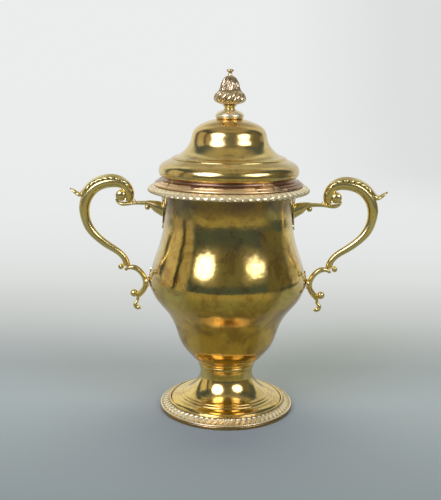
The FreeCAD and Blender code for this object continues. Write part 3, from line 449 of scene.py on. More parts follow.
foot_line = profile(
    (59.1, 4.7), [(60.5, 4.7)], [(60.5, 8.0)], [(58.2, 8.0)],
    [(58.2, 10.2), (54.2, 13.2), (48.6, 13.5)],
    *reeds([(48.6, 13.5), (45.4, 14.9), (42.2, 16.3)], bulge=1.15),
    [(35.2, 20.8), (28.2, 30.6), (26.5, 38), (28.4, 44.6)],
    [(27.0, 44.6)],
    [(25.1, 38), (26.8, 30.6), (33.8, 19.8), (42.2, 14.6)],
    [(48.6, 11.9)], [(53.4, 11.7), (56.3, 9.4), (57.2, 7.2)], [(59.1, 6.4)], [(59.1, 4.7)])
finished(turned(foot_line), "foot_shell", "cup", foot_gilt)

collar_line = profile(
    (23, 44.7), [(28.4, 44.7)],
    *reeds([(28.4, 44.7), (28.9, 48.8), (31.2, 52.9), (36.7, 57.1)], bulge=0.85),
    [(26, 51.4)], [(23, 51.4)], [(23, 44.7)], reach=0.2, spacing=0.5)
finished(turned(collar_line), "stem_collar", "cup", foot_gilt)

# ---------------------------------------------------------------- cup

cup_outer = [
    (44.0, 64), (50.2, 74), (53.8, 90), (62.3, 106), (76.2, 120), (81.4, 136), (77.5, 154),
    (68.8, 176), (64.4, 200), (65.0, 217), (68, 227)]
cup_inner = [
    (63.6, 217), (63.0, 200), (67.4, 176), (76.1, 154), (80, 136), (74.8, 120.3), (60.9, 106.4),
    (52.4, 90.4), (49.0, 74.7), (42.6, 65), (35.6, 58.5)]
cup_line = profile(
    (0, 51.5), [(26, 51.5)], [(36.7, 57.2)], cup_outer, [(68, 236)], [(64.4, 236)],
    [(64.4, 227)], cup_inner, [(26, 52.9)], [(0, 52.9)], spacing=1.2)
finished(turned(cup_line, steps=288), "cup_body", "cup", body_gilt)

mouth_line = profile(
    (64.4, 236.1), [(71.0, 236.1)], [(71.8, 236.2), (71.8, 238.4), (71.0, 238.6)],
    [(64.4, 238.6)], [(64.4, 236.1)], spacing=0.4)
finished(turned(mouth_line), "mouth_ring", "cup", rose_gilt)


# ---------------------------------------------------------------- gadroon borders


def across_lobe(phase):
    """Where a phase lies across its lobe, from -1 to 1."""
    return 2 * (phase - math.floor(phase)) - 1


def gadrooned(line, marks, *, lobes, lean, rise, tail, head, steps, start, swell=1.5):
    """A turned band whose marked stretch is raised into slanting gadroons.

    marks gives each point's share of the way across the band. lean is how many
    lobes a gadroon passes sideways on its way out, rise its height in millimetres,
    tail and head the shares at which it begins and ends, start the part of its
    height that it has at the inner edge, and swell how late it grows to the whole.
    """
    end_square, side_square = 3.2, 3  # how square a lobe's ends and sides are
    whole_by = 0.7  # share at which it has grown to its whole height
    # The gaps between lobes are darkened with painted shade.
    recess_shade_below, recess_shade_fade = 0.5, 1.9  # how low it counts as hollow, and how fast that fades
    bm = bmesh.new()
    across = bm.verts.layers.float.new("across")
    push = bm.verts.layers.float_vector.new("push")
    recess_shade = bm.verts.layers.float.new("recess_shade")
    verts = []
    for index, (r, z) in enumerate(line):
        vert = bm.verts.new((r * MM, 0, z * MM))
        way = (line[(index + 1) % len(line)] - line[index - 1]).normalized()
        vert[across] = marks[index]
        vert[push] = (way.y, 0, -way.x)
        verts.append(vert)
    edges = [bm.edges.new(pair) for pair in zip(verts, verts[1:] + verts[:1])]
    spun(bm, verts + edges, lobes, steps)
    middle, half = (tail + head) / 2, (head - tail) / 2
    for vert in bm.verts:
        share = vert[across]
        if share < -0.5:
            continue
        angle = math.atan2(vert.co.y, vert.co.x)
        side = across_lobe(angle * lobes / FULL_TURN - lean * share)
        reach = max(0.0, 1 - abs((share - middle) / half) ** end_square) ** 0.5
        lift = 0.0
        if reach > abs(side):
            lift = math.sqrt(max(0.0, 1 - abs(side / reach) ** side_square)) * reach
        out, _, up = vert[push]
        grown = start + (1 - start) * clamped(share / whole_by) ** swell
        vert.co.x += math.cos(angle) * out * lift * rise * grown * MM
        vert.co.y += math.sin(angle) * out * lift * rise * grown * MM
        vert.co.z += up * lift * rise * grown * MM
        # Painted shade: the low gaps between lobes are marked for the darker recess colour, less as
        # a lobe rises.
        if lift < recess_shade_below:
            vert[recess_shade] = max(0.0, 1 - lift * recess_shade_fade) * grown
    bmesh.ops.recalc_face_normals(bm, faces=bm.faces)
    return bm


def marked(start, plain_runs, banded_runs, closing_runs):
    """A closed line and each point's share across its banded stretch, or -1 off it."""
    first = profile(start, *plain_runs, reach=0.15, spacing=1.2)
    band = profile(first[-1], *banded_runs, spacing=0.42)
    last = profile(band[-1], *closing_runs, reach=0.15, spacing=1.2)
    lengths = [0.0]
    for here, there in zip(band, band[1:]):
        lengths.append(lengths[-1] + (there - here).length)
    shares = [length / lengths[-1] for length in lengths]
    marks = [-1.0] * (len(first) - 1) + shares + [-1.0] * (len(last) - 2)
    return first + band[1:] + last[1:-1], marks


rim_border = gadrooned(
    *marked(
        (68.1, 227.0), [[(68.1, 236.0)], [(73.2, 236.0)]],
        [[(76.6, 235.6), (80.6, 233.9), (82.3, 231.6), (81.8, 229.5), (79.8, 229.2)]],
        [[(76, 228.4), (72, 227.4), (68.1, 227.0)]]),
    lobes=72, lean=2.1, rise=0.95, tail=0.1, head=1.0, steps=18, start=0.12, swell=1.3)
finished(rim_border, "rim_gadroon_border", "cup", cast_gilt, crease=60)

foot_border = gadrooned(
    *marked(
        (60.6, 3.3), [[(60.6, 8.6)]], [[(67.9, 5.0)]],
        [[(68.3, 5.1), (69.6, 4.9), (69.6, 3.5), (68.2, 3.3)], [(60.6, 3.3)]]),
    lobes=72, lean=-0.8, rise=1.05, tail=0.0, head=1.0, steps=14, start=0.8)
finished(foot_border, "foot_gadroon_border", "cup", cast_gilt, crease=60)

# ---------------------------------------------------------------- cover

bezel_line = profile(
    (62.7, 227.6), [(63.9, 227.6)], [(63.9, 244.6)], [(62.7, 244.6)], [(62.7, 227.6)])
finished(turned(bezel_line), "cover_bezel", "cover", cover_gilt)

moulding_line = profile(
    (64.0, 238.7), [(72.0, 238.7)], [(72.1, 236.5)], [(75.4, 236.4)],
    *reeds([(75.4, 236.4), (72.2, 238.8), (68.8, 241.1)], bulge=1.35),
    [(67.4, 241.4), (66.5, 242.4), (66.3, 243.9)], [(64.0, 243.9)], [(64.0, 238.7)],
    reach=0.2, spacing=0.4)
finished(turned(moulding_line), "cover_base_moulding", "cover", rose_gilt)

dome_line = profile(
    (66.4, 244.0),
    [(70.8, 244.6), (71.8, 253.0), (66.6, 258.5), (60.2, 260.7), (58, 261.9)],
    *reeds([(58, 261.9), (54.6, 264.3)], bulge=0.8),
    [(48.5, 266.5), (43.3, 272), (38.7, 278), (37.6, 286), (34.9, 293.2), (23.5, 299.2),
     (12.6, 301.5)],
    [(12.4, 303.4)], [(2.2, 303.4)], [(2.2, 302)], [(11.0, 302)],
    [(11.6, 300.2), (22.6, 297.9), (33.4, 292.4), (36.2, 286), (37.3, 277.7), (42.2, 271.2),
     (47.7, 265), (54.6, 262.3)],
    [(58, 260.4)],
    [(59.8, 259.3), (65.6, 257.0), (70.0, 252.4), (68.7, 246.3), (65.0, 245.2)],
    [(65.0, 244.0)], [(66.4, 244.0)], spacing=1.0)
finished(turned(dome_line, steps=288), "cover_dome", "cover", cover_gilt)

# ---------------------------------------------------------------- finial

# The fixings inside the cover keep their CAD shape.
for fixing in ("finial_stud", "finial_washer", "finial_nut"):
    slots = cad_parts[fixing].material_slots
    if not slots:
        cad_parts[fixing].data.materials.append(cover_gilt)
    for kept in slots:
        kept.material = cover_gilt

plate_line = profile(
    (2.2, 303.5), [(12.6, 303.5)], [(12.6, 301.9)],
    [(13.2, 301.8)], [(15.3, 303.2), (15.0, 306.2), (11.6, 308.4)],
    [(9.8, 309.0), (8.4, 309.4), (7.6, 310.0)], [(2.2, 310.0)], [(2.2, 303.5)],
    reach=0.15, spacing=0.4)
finished(turned(plate_line, steps=120), "finial_plate", "cover", cast_gilt)

spool_line = profile(
    (2.2, 310.1), [(6.0, 310.1)], [(6.6, 310.4), (6.0, 310.9)],
    [(5.2, 311.2), (5.1, 312.0), (5.7, 313.4), (7.6, 314.8)], [(2.2, 314.8)], [(2.2, 310.1)],
    reach=0.15, spacing=0.4)
finished(turned(spool_line, steps=120), "finial_stem", "cover", handle_gilt)

knob_line = profile(
    (0, 343.6), [(2.6, 343.6)], [(2.0, 344.0), (1.9, 346.0), (2.0, 346.9)],
    [(3.3, 347.3), (4.0, 348.4), (3.2, 350.1), (0, 350.1)], reach=0.1, spacing=0.3)
finished(turned(knob_line, steps=72), "finial_knob", "cover", bud_gilt)


def swirled_bud():
    """The bud: fat swirled lobes below, a bell of fine leaning leaves above."""
    # Number, twist per millimetre of height, and lowest and highest point, in millimetres.
    lobes, lobe_twist, lobe_foot, lobe_top = 12, 0.085, 315.4, 329.6
    leaves, leaf_twist, leaf_foot, leaf_top = 24, 0.11, 327.4, 344
    twist_from, leaves_from, tufts = 315, 328, 0.22
    neck_radius = 2.6
    line = profile(
        (0, 315.2), [(5.2, 314.9)],
        [(9.5, 315.6), (13.7, 318.0), (14.7, 323.2), (12.2, 327.3), (10.9, 328.6)],
        [(9.7, 330.2), (9.0, 334.0), (7.6, 338.8), (4.4, 342.6), (2.6, 343.5)], [(0, 343.5)],
        reach=0.2, spacing=0.33)
    bm = turned(line, steps=336)
    recess_shade = bm.verts.layers.float.new("recess_shade")
    for vert in bm.verts:
        x, y, z = vert.co / MM
        if math.hypot(x, y) < neck_radius:
            continue
        angle = math.atan2(y, x)
        low = clamped((z - lobe_foot) / 3) * clamped((lobe_top - z) / 3.2)
        side = across_lobe(angle * lobes / FULL_TURN - (z - twist_from) * lobe_twist)
        fat = math.sqrt(max(0.0, 1 - side * side))
        high = clamped((z - leaf_foot) / 2.0) * clamped((leaf_top - z) / 2.5)
        wander = 0.15 * noise.noise(Vector((x, y, z)) * 0.5)
        rise = z - leaves_from
        leaf = angle * leaves / FULL_TURN - rise * leaf_twist + wander
        ridge = (1 - abs(across_lobe(leaf))) ** 0.8
        tuft = 0.5 + 0.5 * math.cos(FULL_TURN * (rise * tufts + 0.5 * math.floor(leaf)))
        lift = low * (2.5 * fat - 0.4) + high * (0.9 * ridge * (0.8 + 0.2 * tuft) - 0.2)
        vert.co.x += math.cos(angle) * lift * MM
        vert.co.y += math.sin(angle) * lift * MM
        # Painted shade: darker in the gaps between the lobes and between the bell's leaves, and a
        # little darker over the whole bell.
        shade = low * max(0.0, 1 - fat * 1.6) + high * (0.3 + 0.7 * max(0.0, 1 - ridge * 1.5))
        vert[recess_shade] = min(1.0, shade)
    bmesh.ops.recalc_face_normals(bm, faces=bm.faces)
    return bm


finished(swirled_bud(), "finial_bud", "cover", bud_gilt, crease=70)

# ---------------------------------------------------------------- handles


def along(points, samples):
    """Places and directions at even steps along a spline in the plane of the handles."""
    fine_steps = 1200
    fine = spline(points, fine_steps)
    lengths = [0.0]
    for here, there in zip(fine, fine[1:]):
        lengths.append(lengths[-1] + (there - here).length)
    places, at = [], 0
    for step in range(samples + 1):
        goal = lengths[-1] * step / samples
        while at < fine_steps - 1 and lengths[at + 1] < goal:
            at += 1
        here, there = fine[at], fine[at + 1]
        share = (goal - lengths[at]) / (lengths[at + 1] - lengths[at])
        places.append((here.lerp(there, share), (there - here).normalized()))
    return places


def graded(stops, share):
    """Reads smoothly between (share, value, value, ...) stops."""
    for low, high in zip(stops, stops[1:]):
        if share <= high[0]:
            part = (share - low[0]) / (high[0] - low[0])
            part = part * part * (3 - 2 * part)
            return [a + (b - a) * part for a, b in zip(low[1:], high[1:])]
    return list(stops[-1][1:])


def ridged_oval(turn, width, outer, inner):
    """A point of a cast moulding's section: rounded faces that meet in a ridge at each side."""
    full, keen = 0.92, 1.12  # under 1 fills the faces out, over 1 draws the ridges keen
    side, deep = math.cos(turn), math.sin(turn)
    deep = math.copysign(abs(deep) ** full, deep)
    side = math.copysign(abs(side) ** keen, side)
    return side * width, deep * (outer if deep > 0 else inner)


def swept(path, stops, segments, samples, relief=None):
    """Carries a ridged oval along a path, its width along Y.

    Each stop is a share of the way, then the half width there and how far the section
    reaches to the left of the way and to its right. relief gives, for a share of the
    way and a turn round the section, how far a point is raised and how much painted
    shade it takes.
    """
    bm = bmesh.new()
    recess_shade = bm.verts.layers.float.new("recess_shade")
    rings = []
    for step, (spot, way) in enumerate(along(path, samples)):
        share = step / samples
        left = Vector((-way.y, way.x))
        width, outer, inner = graded(stops, share)
        ring = bmesh.ops.create_circle(bm, segments=segments, radius=1.0)["verts"]
        for index, vert in enumerate(ring):
            turn = FULL_TURN * index / segments
            side, deep = ridged_oval(turn, width, outer, inner)
            if relief:
                lift, vert[recess_shade] = relief(share, turn, side, deep)
                size = math.hypot(side, deep)
                side, deep = side * (1 + lift / size), deep * (1 + lift / size)
            place = spot + left * deep
            vert.co = (place.x * MM, side * MM, place.y * MM)
        rings.append(ring)
    for pair in zip(rings, rings[1:]):
        edges = [
            bm.edges.get(ends) for ring in pair for ends in zip(ring, ring[1:] + ring[:1])]
        bmesh.ops.bridge_loops(bm, edges=edges)
    for ring in (rings[0], rings[-1]):
        bmesh.ops.contextual_create(bm, geom=ring)
    bmesh.ops.recalc_face_normals(bm, faces=bm.faces)
    return bm


def both_handles(bm, piece, finish=handle_gilt):
    """Puts the piece on the right handle and its mirror image on the left."""
    other = bm.copy()
    bmesh.ops.transform(other, matrix=Matrix.Scale(-1, 4, (1, 0, 0)), verts=other.verts)
    bmesh.ops.reverse_faces(other, faces=other.faces)
    finished(bm, "right_" + piece, "cup", finish, crease=50)
    finished(other, "left_" + piece, "cup", finish, crease=50)


scroll_path = [
    (103.5, 218.3), (99.5, 221.1), (102.2, 234.6), (113.3, 237.8), (129.3, 235.8),
    (140.1, 228.3), (147.4, 215.5), (146.9, 201.4), (142.3, 188.2), (132.6, 178.2),
    (121.4, 170.0), (109.4, 163.5), (104.1, 155.1), (104.4, 150.3)]
scroll_stops = [
    (0, 4.6, 5.0, 5.0), (0.07, 4.8, 5.2, 5.2), (0.13, 5.0, 5.4, 5.4), (0.22, 5.2, 5.6, 5.6),
    (0.45, 5.2, 5.6, 5.6), (0.6, 4.4, 4.7, 4.7), (0.75, 3.8, 4.0, 4.0), (0.92, 3.2, 3.4, 3.4),
    (1, 3.2, 3.5, 3.5)]
both_handles(swept(scroll_path, scroll_stops, segments=48, samples=200), "handle_scroll")

lower_path = [
    (105.4, 145.4), (104, 148.2), (96.9, 149.8), (90.2, 144.8), (85.1, 137.2), (84.6, 127.9),
    (90, 121.3), (93.9, 116.4), (93.2, 113.2)]
lower_stops = [
    (0, 1.9, 1.6, 1.6), (0.2, 3.4, 2.9, 2.9), (0.5, 3.3, 2.7, 2.7), (0.8, 3.6, 3.0, 3.0),
    (1, 1.8, 1.5, 1.5)]
both_handles(swept(lower_path, lower_stops, segments=36, samples=120), "lower_scroll")

tail_path = [
    (92.2, 114), (94.2, 112), (96.6, 109.4), (95.4, 106.2), (92.6, 105.4), (91.0, 107.0)]
tail_stops = [(0, 1.8, 1.4, 1.4), (0.5, 2.8, 2.1, 2.0), (1, 3.0, 2.7, 2.7)]
both_handles(swept(tail_path, tail_stops, segments=28, samples=60), "tail_leaf")


def leaf_relief(share, turn, side, deep):
    """A soft midrib along the top and a scalloped hem with drilled eyes along each side, the eyes
    darkened with painted shade.
    """
    rib_height, rib_width = 0.45, 0.8
    hem_depth, hem_width, hem_inset = -0.2, 1.15, 3.0
    hem_start, hem_end, fade = 0.12, 0.82, 0.08
    scallops, first_scallop = 14.6, 0.035
    hem = math.exp(-((deep - hem_depth) / hem_width) ** 2) * min(1.0, abs(side) / hem_inset)
    hem *= clamped((share - hem_start) / fade) * clamped((hem_end - share) / fade)
    scallop = 0.5 + 0.5 * math.cos(FULL_TURN * (share - first_scallop) * scallops)
    rib = math.exp(-(side / rib_width) ** 2) * rib_height if deep > 0 else 0.0
    return rib + hem * (0.75 * scallop - 0.35), hem * (1 - scallop) ** 2


leaf_path = [
    (100.6, 221.0), (98.7, 223.7), (100.3, 230.4), (105.2, 237.8), (114.1, 241.2),
    (123.3, 241.0), (132.1, 238.6), (139.9, 234.2), (146.2, 226.0), (152.5, 221.3),
    (159.1, 229.2), (161.0, 229.4)]
leaf_stops = [
    (0, 3.1, 1.8, 1), (0.15, 5.1, 2.8, 2), (0.4, 6.1, 3.5, 2.6), (0.7, 6.1, 3.4, 2.6),
    (0.82, 4.7, 2.9, 2.6), (0.92, 2.6, 1.7, 1.7), (1, 0.9, 0.6, 0.6)]
leaf_cap = swept(leaf_path, leaf_stops, segments=64, samples=240, relief=leaf_relief)
both_handles(leaf_cap, "leaf_cap")


def branch_relief(share, turn, side, deep):
    """A small thorn on the branch's upper side."""
    height, place, length, sharpness = 2.3, 0.64, 0.022, 6
    upper = max(0.0, -math.sin(turn)) ** sharpness
    return height * upper * math.exp(-((share - place) / length) ** 2), 0.0


branch_path = [
    (114.3, 219.9), (113.3, 215.3), (105.7, 214.1), (97.7, 215.7), (89.7, 215.9), (83, 215.9)]
branch_stops = [(0, 2.0, 1.1, 1.1), (0.3, 3.4, 2.2, 2.2), (0.6, 3.4, 1.8, 2.0), (1, 3.4, 2.2, 2.2)]
branch = swept(branch_path, branch_stops, segments=32, samples=160, relief=branch_relief)
both_handles(branch, "branch")

# The cup's outer side alone, for what is fixed to it.
cup_wall = profile((38.3, 57.2), cup_outer, [(68, 236)], spacing=0.8)


def off_cup(y, z, gap):
    """How far out, in millimetres, a point lies that keeps a gap to the cup's outer side."""
    at = next((i for i in range(1, len(cup_wall)) if cup_wall[i].y >= z), len(cup_wall) - 1)
    low, high = cup_wall[at - 1], cup_wall[at]
    radius = low.x + (high.x - low.x) * (z - low.y) / (high.y - low.y) + gap
    return math.sqrt(radius * radius - y * y)


socket_path = [(49, 204.5), (70, 205.5), (75.5, 216.1), (82.9, 216.1)]
socket_stops = [(0, 5.2, 9.5, 9.5), (0.65, 5.0, 7.0, 5.6), (1, 3.6, 2.5, 2.5)]
socket_gap = 1.7
socket = swept(socket_path, socket_stops, segments=36, samples=90)
for vert in socket.verts:
    x, y, z = vert.co / MM
    nearest = off_cup(y, z, socket_gap)
    if x < nearest:
        vert.co.x = nearest * MM
both_handles(socket, "upper_socket")


def button(x, z, radius, outline):
    """A round button turned about a cross axis of the handle."""
    outline_steps, turn_steps = 24, 64
    bm = bmesh.new()
    half = spline([(out * radius, across * radius) for out, across in outline], outline_steps)
    whole = half + [Vector((r, -y)) for r, y in half[-2::-1]]
    verts = [bm.verts.new(((x + r) * MM, y * MM, z * MM)) for r, y in whole]
    edges = [bm.edges.new(pair) for pair in zip(verts, verts[1:])]
    bmesh.ops.spin(
        bm, geom=verts + edges, cent=(x * MM, 0, z * MM), axis=(0, 1, 0), angle=FULL_TURN,
        steps=turn_steps, use_merge=True, use_duplicate=False)
    bmesh.ops.remove_doubles(bm, verts=bm.verts, dist=WELD)
    bmesh.ops.recalc_face_normals(bm, faces=bm.faces)
    return bm


# Half outlines of buttons, in shares of the radius: out from the middle, then across.
domed = [(0, 1), (0.35, 1), (0.72, 0.86), (0.96, 0.55), (1, 0.2), (1, 0)]
eyed = [
    (0, 1), (0.25, 0.97), (0.4, 0.86), (0.52, 0.84), (0.72, 0.95), (0.9, 0.85), (1, 0.6), (1, 0)]
both_handles(button(109.0, 223.5, 5.9, domed), "volute_boss")
both_handles(button(110.0, 149.5, 3.1, eyed), "end_curl")


def ball(x, z, radius):
    """A small ball in the plane of the handles."""
    bm = bmesh.new()
    bmesh.ops.create_uvsphere(
        bm, u_segments=48, v_segments=28, radius=radius * MM,
        matrix=Matrix.Translation((x * MM, 0, z * MM)))
    return bm


both_handles(ball(96.9, 121.3, 4.1), "lower_ball")
both_handles(ball(82.4, 211.6, 2.9), "branch_bud")

# The stub is turned upright and then laid along X at its height on the cup.
stub_height = 133.5
stub_line = profile(
    (0, 81.4), [(6.0, 81.4)], [(5.2, 82.2), (4.7, 83.4), (4.7, 85)], [(0, 85)],
    reach=0.1, spacing=0.4)
stub = turned(stub_line, steps=72)
bmesh.ops.transform(
    stub, verts=stub.verts,
    matrix=Matrix.Translation((0, 0, stub_height * MM)) @ Matrix.Rotation(math.pi / 2, 4, "Y"))
both_handles(stub, "lower_stub", foot_gilt)


def pad_on_cup(top, bottom, widths):
    """A pad bent to the cup's side, its half width graded from top to bottom."""
    crown, edge, flatness = 1.35, 0.12, 3
    bm = bmesh.new()
    made = bmesh.ops.create_grid(bm, x_segments=16, y_segments=60, size=1.0)
    for vert in made["verts"]:
        across, share = vert.co.x, (1 - vert.co.y) / 2
        y = across * graded(widths, share)[0]
        z = top + (bottom - top) * share
        out = off_cup(y, z, crown * (1 - abs(across) ** flatness) + edge)
        vert.co = (out * MM, y * MM, z * MM)
    bmesh.ops.recalc_face_normals(bm, faces=bm.faces)
    return bm


upper_widths = [
    (0, 6.4), (0.15, 9.0), (0.38, 8.6), (0.6, 4.2), (0.75, 1.6), (0.84, 1.3), (0.93, 2.4), (1, 0.3)]
lower_widths = [(0, 0.3), (0.12, 3.4), (0.4, 6.3), (0.7, 5.9), (0.93, 2.4), (1, 0.3)]
both_handles(pad_on_cup(224.5, 190, upper_widths), "upper_pad")
both_handles(pad_on_cup(148, 122, lower_widths), "lower_pad")

# ---------------------------------------------------------------- backdrop

# The paper's painted light and shade at each distance behind the cup, in metres: darker
# in front of the cup, brighter towards the wall.
painted_paper_light = [
    (-1.6, (0.09, 0.105, 0.097)),
    (-0.7, (0.135, 0.157, 0.146)),
    (-0.3, (0.19, 0.222, 0.206)),
    (-0.15, (0.262, 0.298, 0.278)),
    (-0.05, (0.319, 0.361, 0.335)),
    (0.01, (0.344, 0.388, 0.367)),
    (0.12, (0.341, 0.38, 0.359)),
    (0.18, (0.404, 0.436, 0.416)),
    (0.24, (0.474, 0.503, 0.48)),
    (0.31, (0.552, 0.578, 0.551)),
    (0.42, (0.638, 0.651, 0.634)),
    (0.55, (0.716, 0.73, 0.712)),
    (0.72, (0.761, 0.776, 0.768)),
    (0.92, (0.791, 0.807, 0.799)),
    (1.33, (0.815, 0.831, 0.823)),
    (2.9, (0.831, 0.847, 0.839)),
]

ROOM_DARK, CEILING = (0.08, 0.11, 0.16), (0.40, 0.37, 0.32)
BACK_WALL, ZENITH = (0.76, 0.78, 0.78), (0.24, 0.25, 0.18)
SIDE_CARD, FLOOR_NEAR, FLOOR_AHEAD = (0.44, 0.40, 0.33), (0.225, 0.235, 0.155), (0.36, 0.33, 0.21)


def sheet():
    """The backdrop's mesh, in metres: floor, bend and wall in one sheet."""
    half_width, front, floor_end, bend, wall_top, steps = 4, -3.0, 2.2, 0.9, 4.5, 12
    line = [(front, 0)]
    for step in range(steps + 1):
        angle = math.pi / 2 * step / steps
        line.append((floor_end + bend * math.sin(angle), bend - bend * math.cos(angle)))
    line.append((floor_end + bend, wall_top))
    bm = bmesh.new()
    verts = [bm.verts.new((-half_width, y, z)) for y, z in line]
    edges = [bm.edges.new(pair) for pair in zip(verts, verts[1:])]
    made = bmesh.ops.extrude_edge_only(bm, edges=edges)
    bmesh.ops.translate(bm, vec=(2 * half_width, 0, 0), verts=verts_of(made))
    mesh = bpy.data.meshes.new("backdrop")
    bm.to_mesh(mesh)
    bm.free()
    mesh.shade_smooth()
    return mesh


def paper_colour(tree, right, back):
    """The paper's painted light and shade by distance, with painted shade far to the right."""
    nearest, farthest = painted_paper_light[0][0], painted_paper_light[-1][0]
    span = add(tree, "MapRange", clamp=True)
    for label, given in (("Value", back), ("From Min", nearest), ("From Max", farthest)):
        feed(tree, span.inputs[label], given)
    ramp = add(tree, "ValToRGB")
    tree.links.new(span.outputs[0], ramp.inputs[0])
    marks = ramp.color_ramp.elements
    while len(marks) < len(painted_paper_light):
        marks.new(0.5)
    for mark, (depth, _) in zip(marks, painted_paper_light):
        mark.position = (depth - nearest) / (farthest - nearest)
    for mark, (_, shade) in zip(marks, painted_paper_light):
        mark.color = (*shade, 1)
    painted_right_shade = product(
        tree, between(tree, right, 0.1, 0.9, 0.0, 0.13), between(tree, back, 0.6, 2.4))
    return mixed(tree, painted_right_shade, ramp.outputs[0], (0.0, 0.0, 0.0))


def unseen_room(tree, right, back, height):
    """What the polish reflects in place of the sheet: where, and the room's colour there."""
    turn = bearing(tree, right, back)
    reach = maths(tree, "SQRT", maths(
        tree, "ADD", maths(tree, "POWER", right, 2.0), maths(tree, "POWER", back, 2.0)))
    # First and last bearing in degrees, and the softness of the edges.
    card_turns, gap_turns, front_turns = (-114, -62, 2.0), (-86, -78, 1.2), (-62, 72, 14.0)
    gap = maths(tree, "SUBTRACT", 1.0, window(tree, turn, *gap_turns))
    card = product(tree, window(tree, turn, *card_turns), gap, between(tree, reach, 0.8, 1.1))
    front = product(
        tree, window(tree, turn, *front_turns), between(tree, reach, 2.2, 2.4, 1.0, 0.0))
    top = product(tree, between(tree, height, 1.6, 3.2), window(tree, right, -1.6, 1.6, 0.6))
    front_tone = mixed(tree, between(tree, reach, 0.12, 0.6), FLOOR_NEAR, FLOOR_AHEAD)
    tone = mixed(tree, front, mixed(tree, card, ROOM_DARK, SIDE_CARD), front_tone)
    near = product(
        tree, window(tree, right, -1.15, 1.15, 0.06), between(tree, back, -2.3, -2.1), 0.8)
    kept = maths(tree, "MAXIMUM", near, between(tree, back, 0.6, 1.6))
    other = maths(tree, "MAXIMUM", maths(tree, "MAXIMUM", card, front), top)
    where = maths(tree, "MAXIMUM", maths(tree, "SUBTRACT", 1.0, kept), other)
    return where, mixed(tree, top, tone, CEILING)


def backdrop():
    """A pale sweep of paper, which the polish shows only behind the cup."""
    paper = bpy.data.materials.new("backdrop_paper")
    paper.use_nodes = True
    tree = paper.node_tree
    split = add(tree, "SeparateXYZ")
    tree.links.new(add(tree, "TexCoord").outputs["Object"], split.inputs[0])
    right, back, height = split.outputs["X"], split.outputs["Y"], split.outputs["Z"]
    shade = paper_colour(tree, right, back)
    shader = tree.nodes["Principled BSDF"]
    for label, given in (("Base Color", shade), ("Roughness", 0.9), ("Specular IOR Level", 0.2)):
        feed(tree, shader.inputs[label], given)
    rays = add(tree, "LightPath").outputs
    direct = maths(tree, "MAXIMUM", rays["Is Camera Ray"], rays["Is Glossy Ray"])
    # Behind the cup the paper shows its painted light as a glow, to the camera and to the polish.
    even = product(tree, direct, between(tree, back, 0.12, 0.6))
    lit = blended(tree, even, shader.outputs[0], glow_of(tree, shade))
    where, tone = unseen_room(tree, right, back, height)
    hidden = product(tree, rays["Is Glossy Ray"], where)
    seen = blended(tree, hidden, lit, glow_of(tree, tone))
    tree.links.new(seen, tree.nodes["Material Output"].inputs["Surface"])
    mesh = sheet()
    mesh.materials.append(paper)
    sweep = bpy.data.objects.new("backdrop", mesh)
    bpy.context.scene.collection.objects.link(sweep)


backdrop()

# ---------------------------------------------------------------- light and room


def softbox(name, place, width, height, power, tint, shows=True):
    """An oval lamp aimed at the cup's middle. shows says whether the polish reflects it."""
    middle = Vector((0, 0, 0.2))
    lamp = bpy.data.lights.new(name, "AREA")
    lamp.shape = "ELLIPSE"
    lamp.size, lamp.size_y = width, height
    lamp.energy = power
    lamp.color = tint
    box = bpy.data.objects.new(name, lamp)
    box.location = place
    box.rotation_euler = (middle - Vector(place)).to_track_quat("-Z", "Y").to_euler()
    box.visible_glossy = shows
    bpy.context.scene.collection.objects.link(box)


softbox(
    "left_softbox", (-0.76, -0.97, 1.0), width=1.0, height=0.94, power=10.5,
    tint=(0.94, 0.96, 1.34))
softbox(
    "right_softbox", (0.97, -0.86, 0.91), width=0.96, height=0.62, power=6.3,
    tint=(0.94, 0.97, 1.26))
softbox(
    "top_softbox", (0.0, 0.5, 1.7), width=1.4, height=1.0, power=15,
    tint=(1.06, 1.01, 0.87), shows=False)

# The room that shows in the polish, by direction round the cup and height over the horizon in
# degrees: from, to, lowest, highest, softness of the edges, colour.
room_parts = [
    (-70, 70, 62, 84, 6, (0.44, 0.40, 0.29)),
    (-20, 24, 14, 60, 6, (0.17, 0.17, 0.14)),
    (-114, -62, -14, 34, 2.0, (0.64, 0.59, 0.50)),
    (-78, -62, -14, 34, 1.5, (0.42, 0.38, 0.31)),
    (-86, -78, -20, 36, 1.2, (0.04, 0.04, 0.04)),
    (60, 106, -14, 40, 4, (0.15, 0.145, 0.11)),
    (108, 131, -8, 11, 3, (0.42, 0.41, 0.38)),
    (-56, -16, 14, 58, 6, (0.34, 0.31, 0.26)),
    (24, 60, 14, 56, 6, (0.30, 0.28, 0.23)),
]


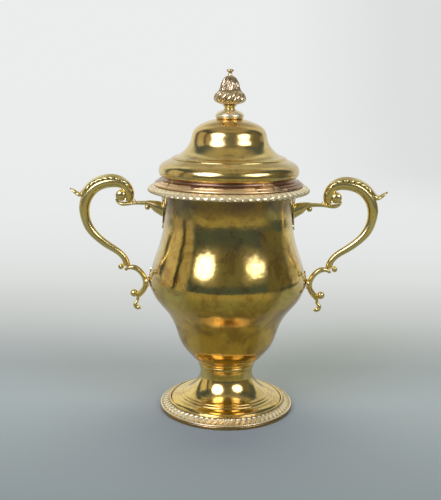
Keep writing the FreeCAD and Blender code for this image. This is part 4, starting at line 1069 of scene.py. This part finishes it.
def studio():
    """An even pale world for the light, and a room with walls and cards for the polish."""
    world = bpy.data.worlds.new("studio")
    world.use_nodes = True
    bpy.context.scene.world = world
    tree = world.node_tree
    way = add(tree, "SeparateXYZ")
    tree.links.new(add(tree, "TexCoord").outputs["Generated"], way.inputs[0])
    turn = bearing(tree, way.outputs["X"], way.outputs["Y"])
    rise = product(tree, maths(tree, "ARCSINE", way.outputs["Z"]), DEGREES)
    behind = between(tree, maths(tree, "ABSOLUTE", turn), 124, 132)
    tone = mixed(tree, behind, ROOM_DARK, BACK_WALL)
    tone = mixed(tree, between(tree, rise, 46, 66), tone, CEILING)
    for west, east, low, high, soft, colour in room_parts:
        part = product(
            tree, window(tree, turn, west, east, soft), window(tree, rise, low, high, soft))
        tone = mixed(tree, part, tone, colour)
    tone = mixed(tree, between(tree, rise, 78, 86), tone, ZENITH)
    room = add(tree, "Background")
    tree.links.new(tone, room.inputs["Color"])
    shine = tree.nodes["Background"]
    shine.inputs["Color"].default_value = (0.80, 0.82, 0.83, 1)
    shine.inputs["Strength"].default_value = 0.45
    glossy = add(tree, "LightPath").outputs["Is Glossy Ray"]
    shown = blended(tree, glossy, shine.outputs[0], room.outputs[0])
    tree.links.new(shown, tree.nodes["World Output"].inputs["Surface"])


studio()
bpy.context.scene.view_settings.view_transform = "Standard"

# ---------------------------------------------------------------- camera

LENS_MM, SENSOR_MM = 59.8, 36
AWAY, ABOVE_FLOOR = 0.8364, 0.3411
LOOK_DOWN, LEAN, LOOK_LEFT = 11.7, 0.65, 0.52

camera_data = bpy.data.cameras.new("camera")
camera_data.lens = LENS_MM
camera_data.sensor_width = SENSOR_MM
camera = bpy.data.objects.new("camera", camera_data)
camera.location = (0, -AWAY, ABOVE_FLOOR)
camera.rotation_euler = (
    Matrix.Rotation(math.radians(LOOK_LEFT), 3, "Z")
    @ Matrix.Rotation(math.radians(90 - LOOK_DOWN), 3, "X")
    @ Matrix.Rotation(math.radians(LEAN), 3, "Z")).to_euler()
bpy.context.scene.collection.objects.link(camera)
bpy.context.scene.camera = camera
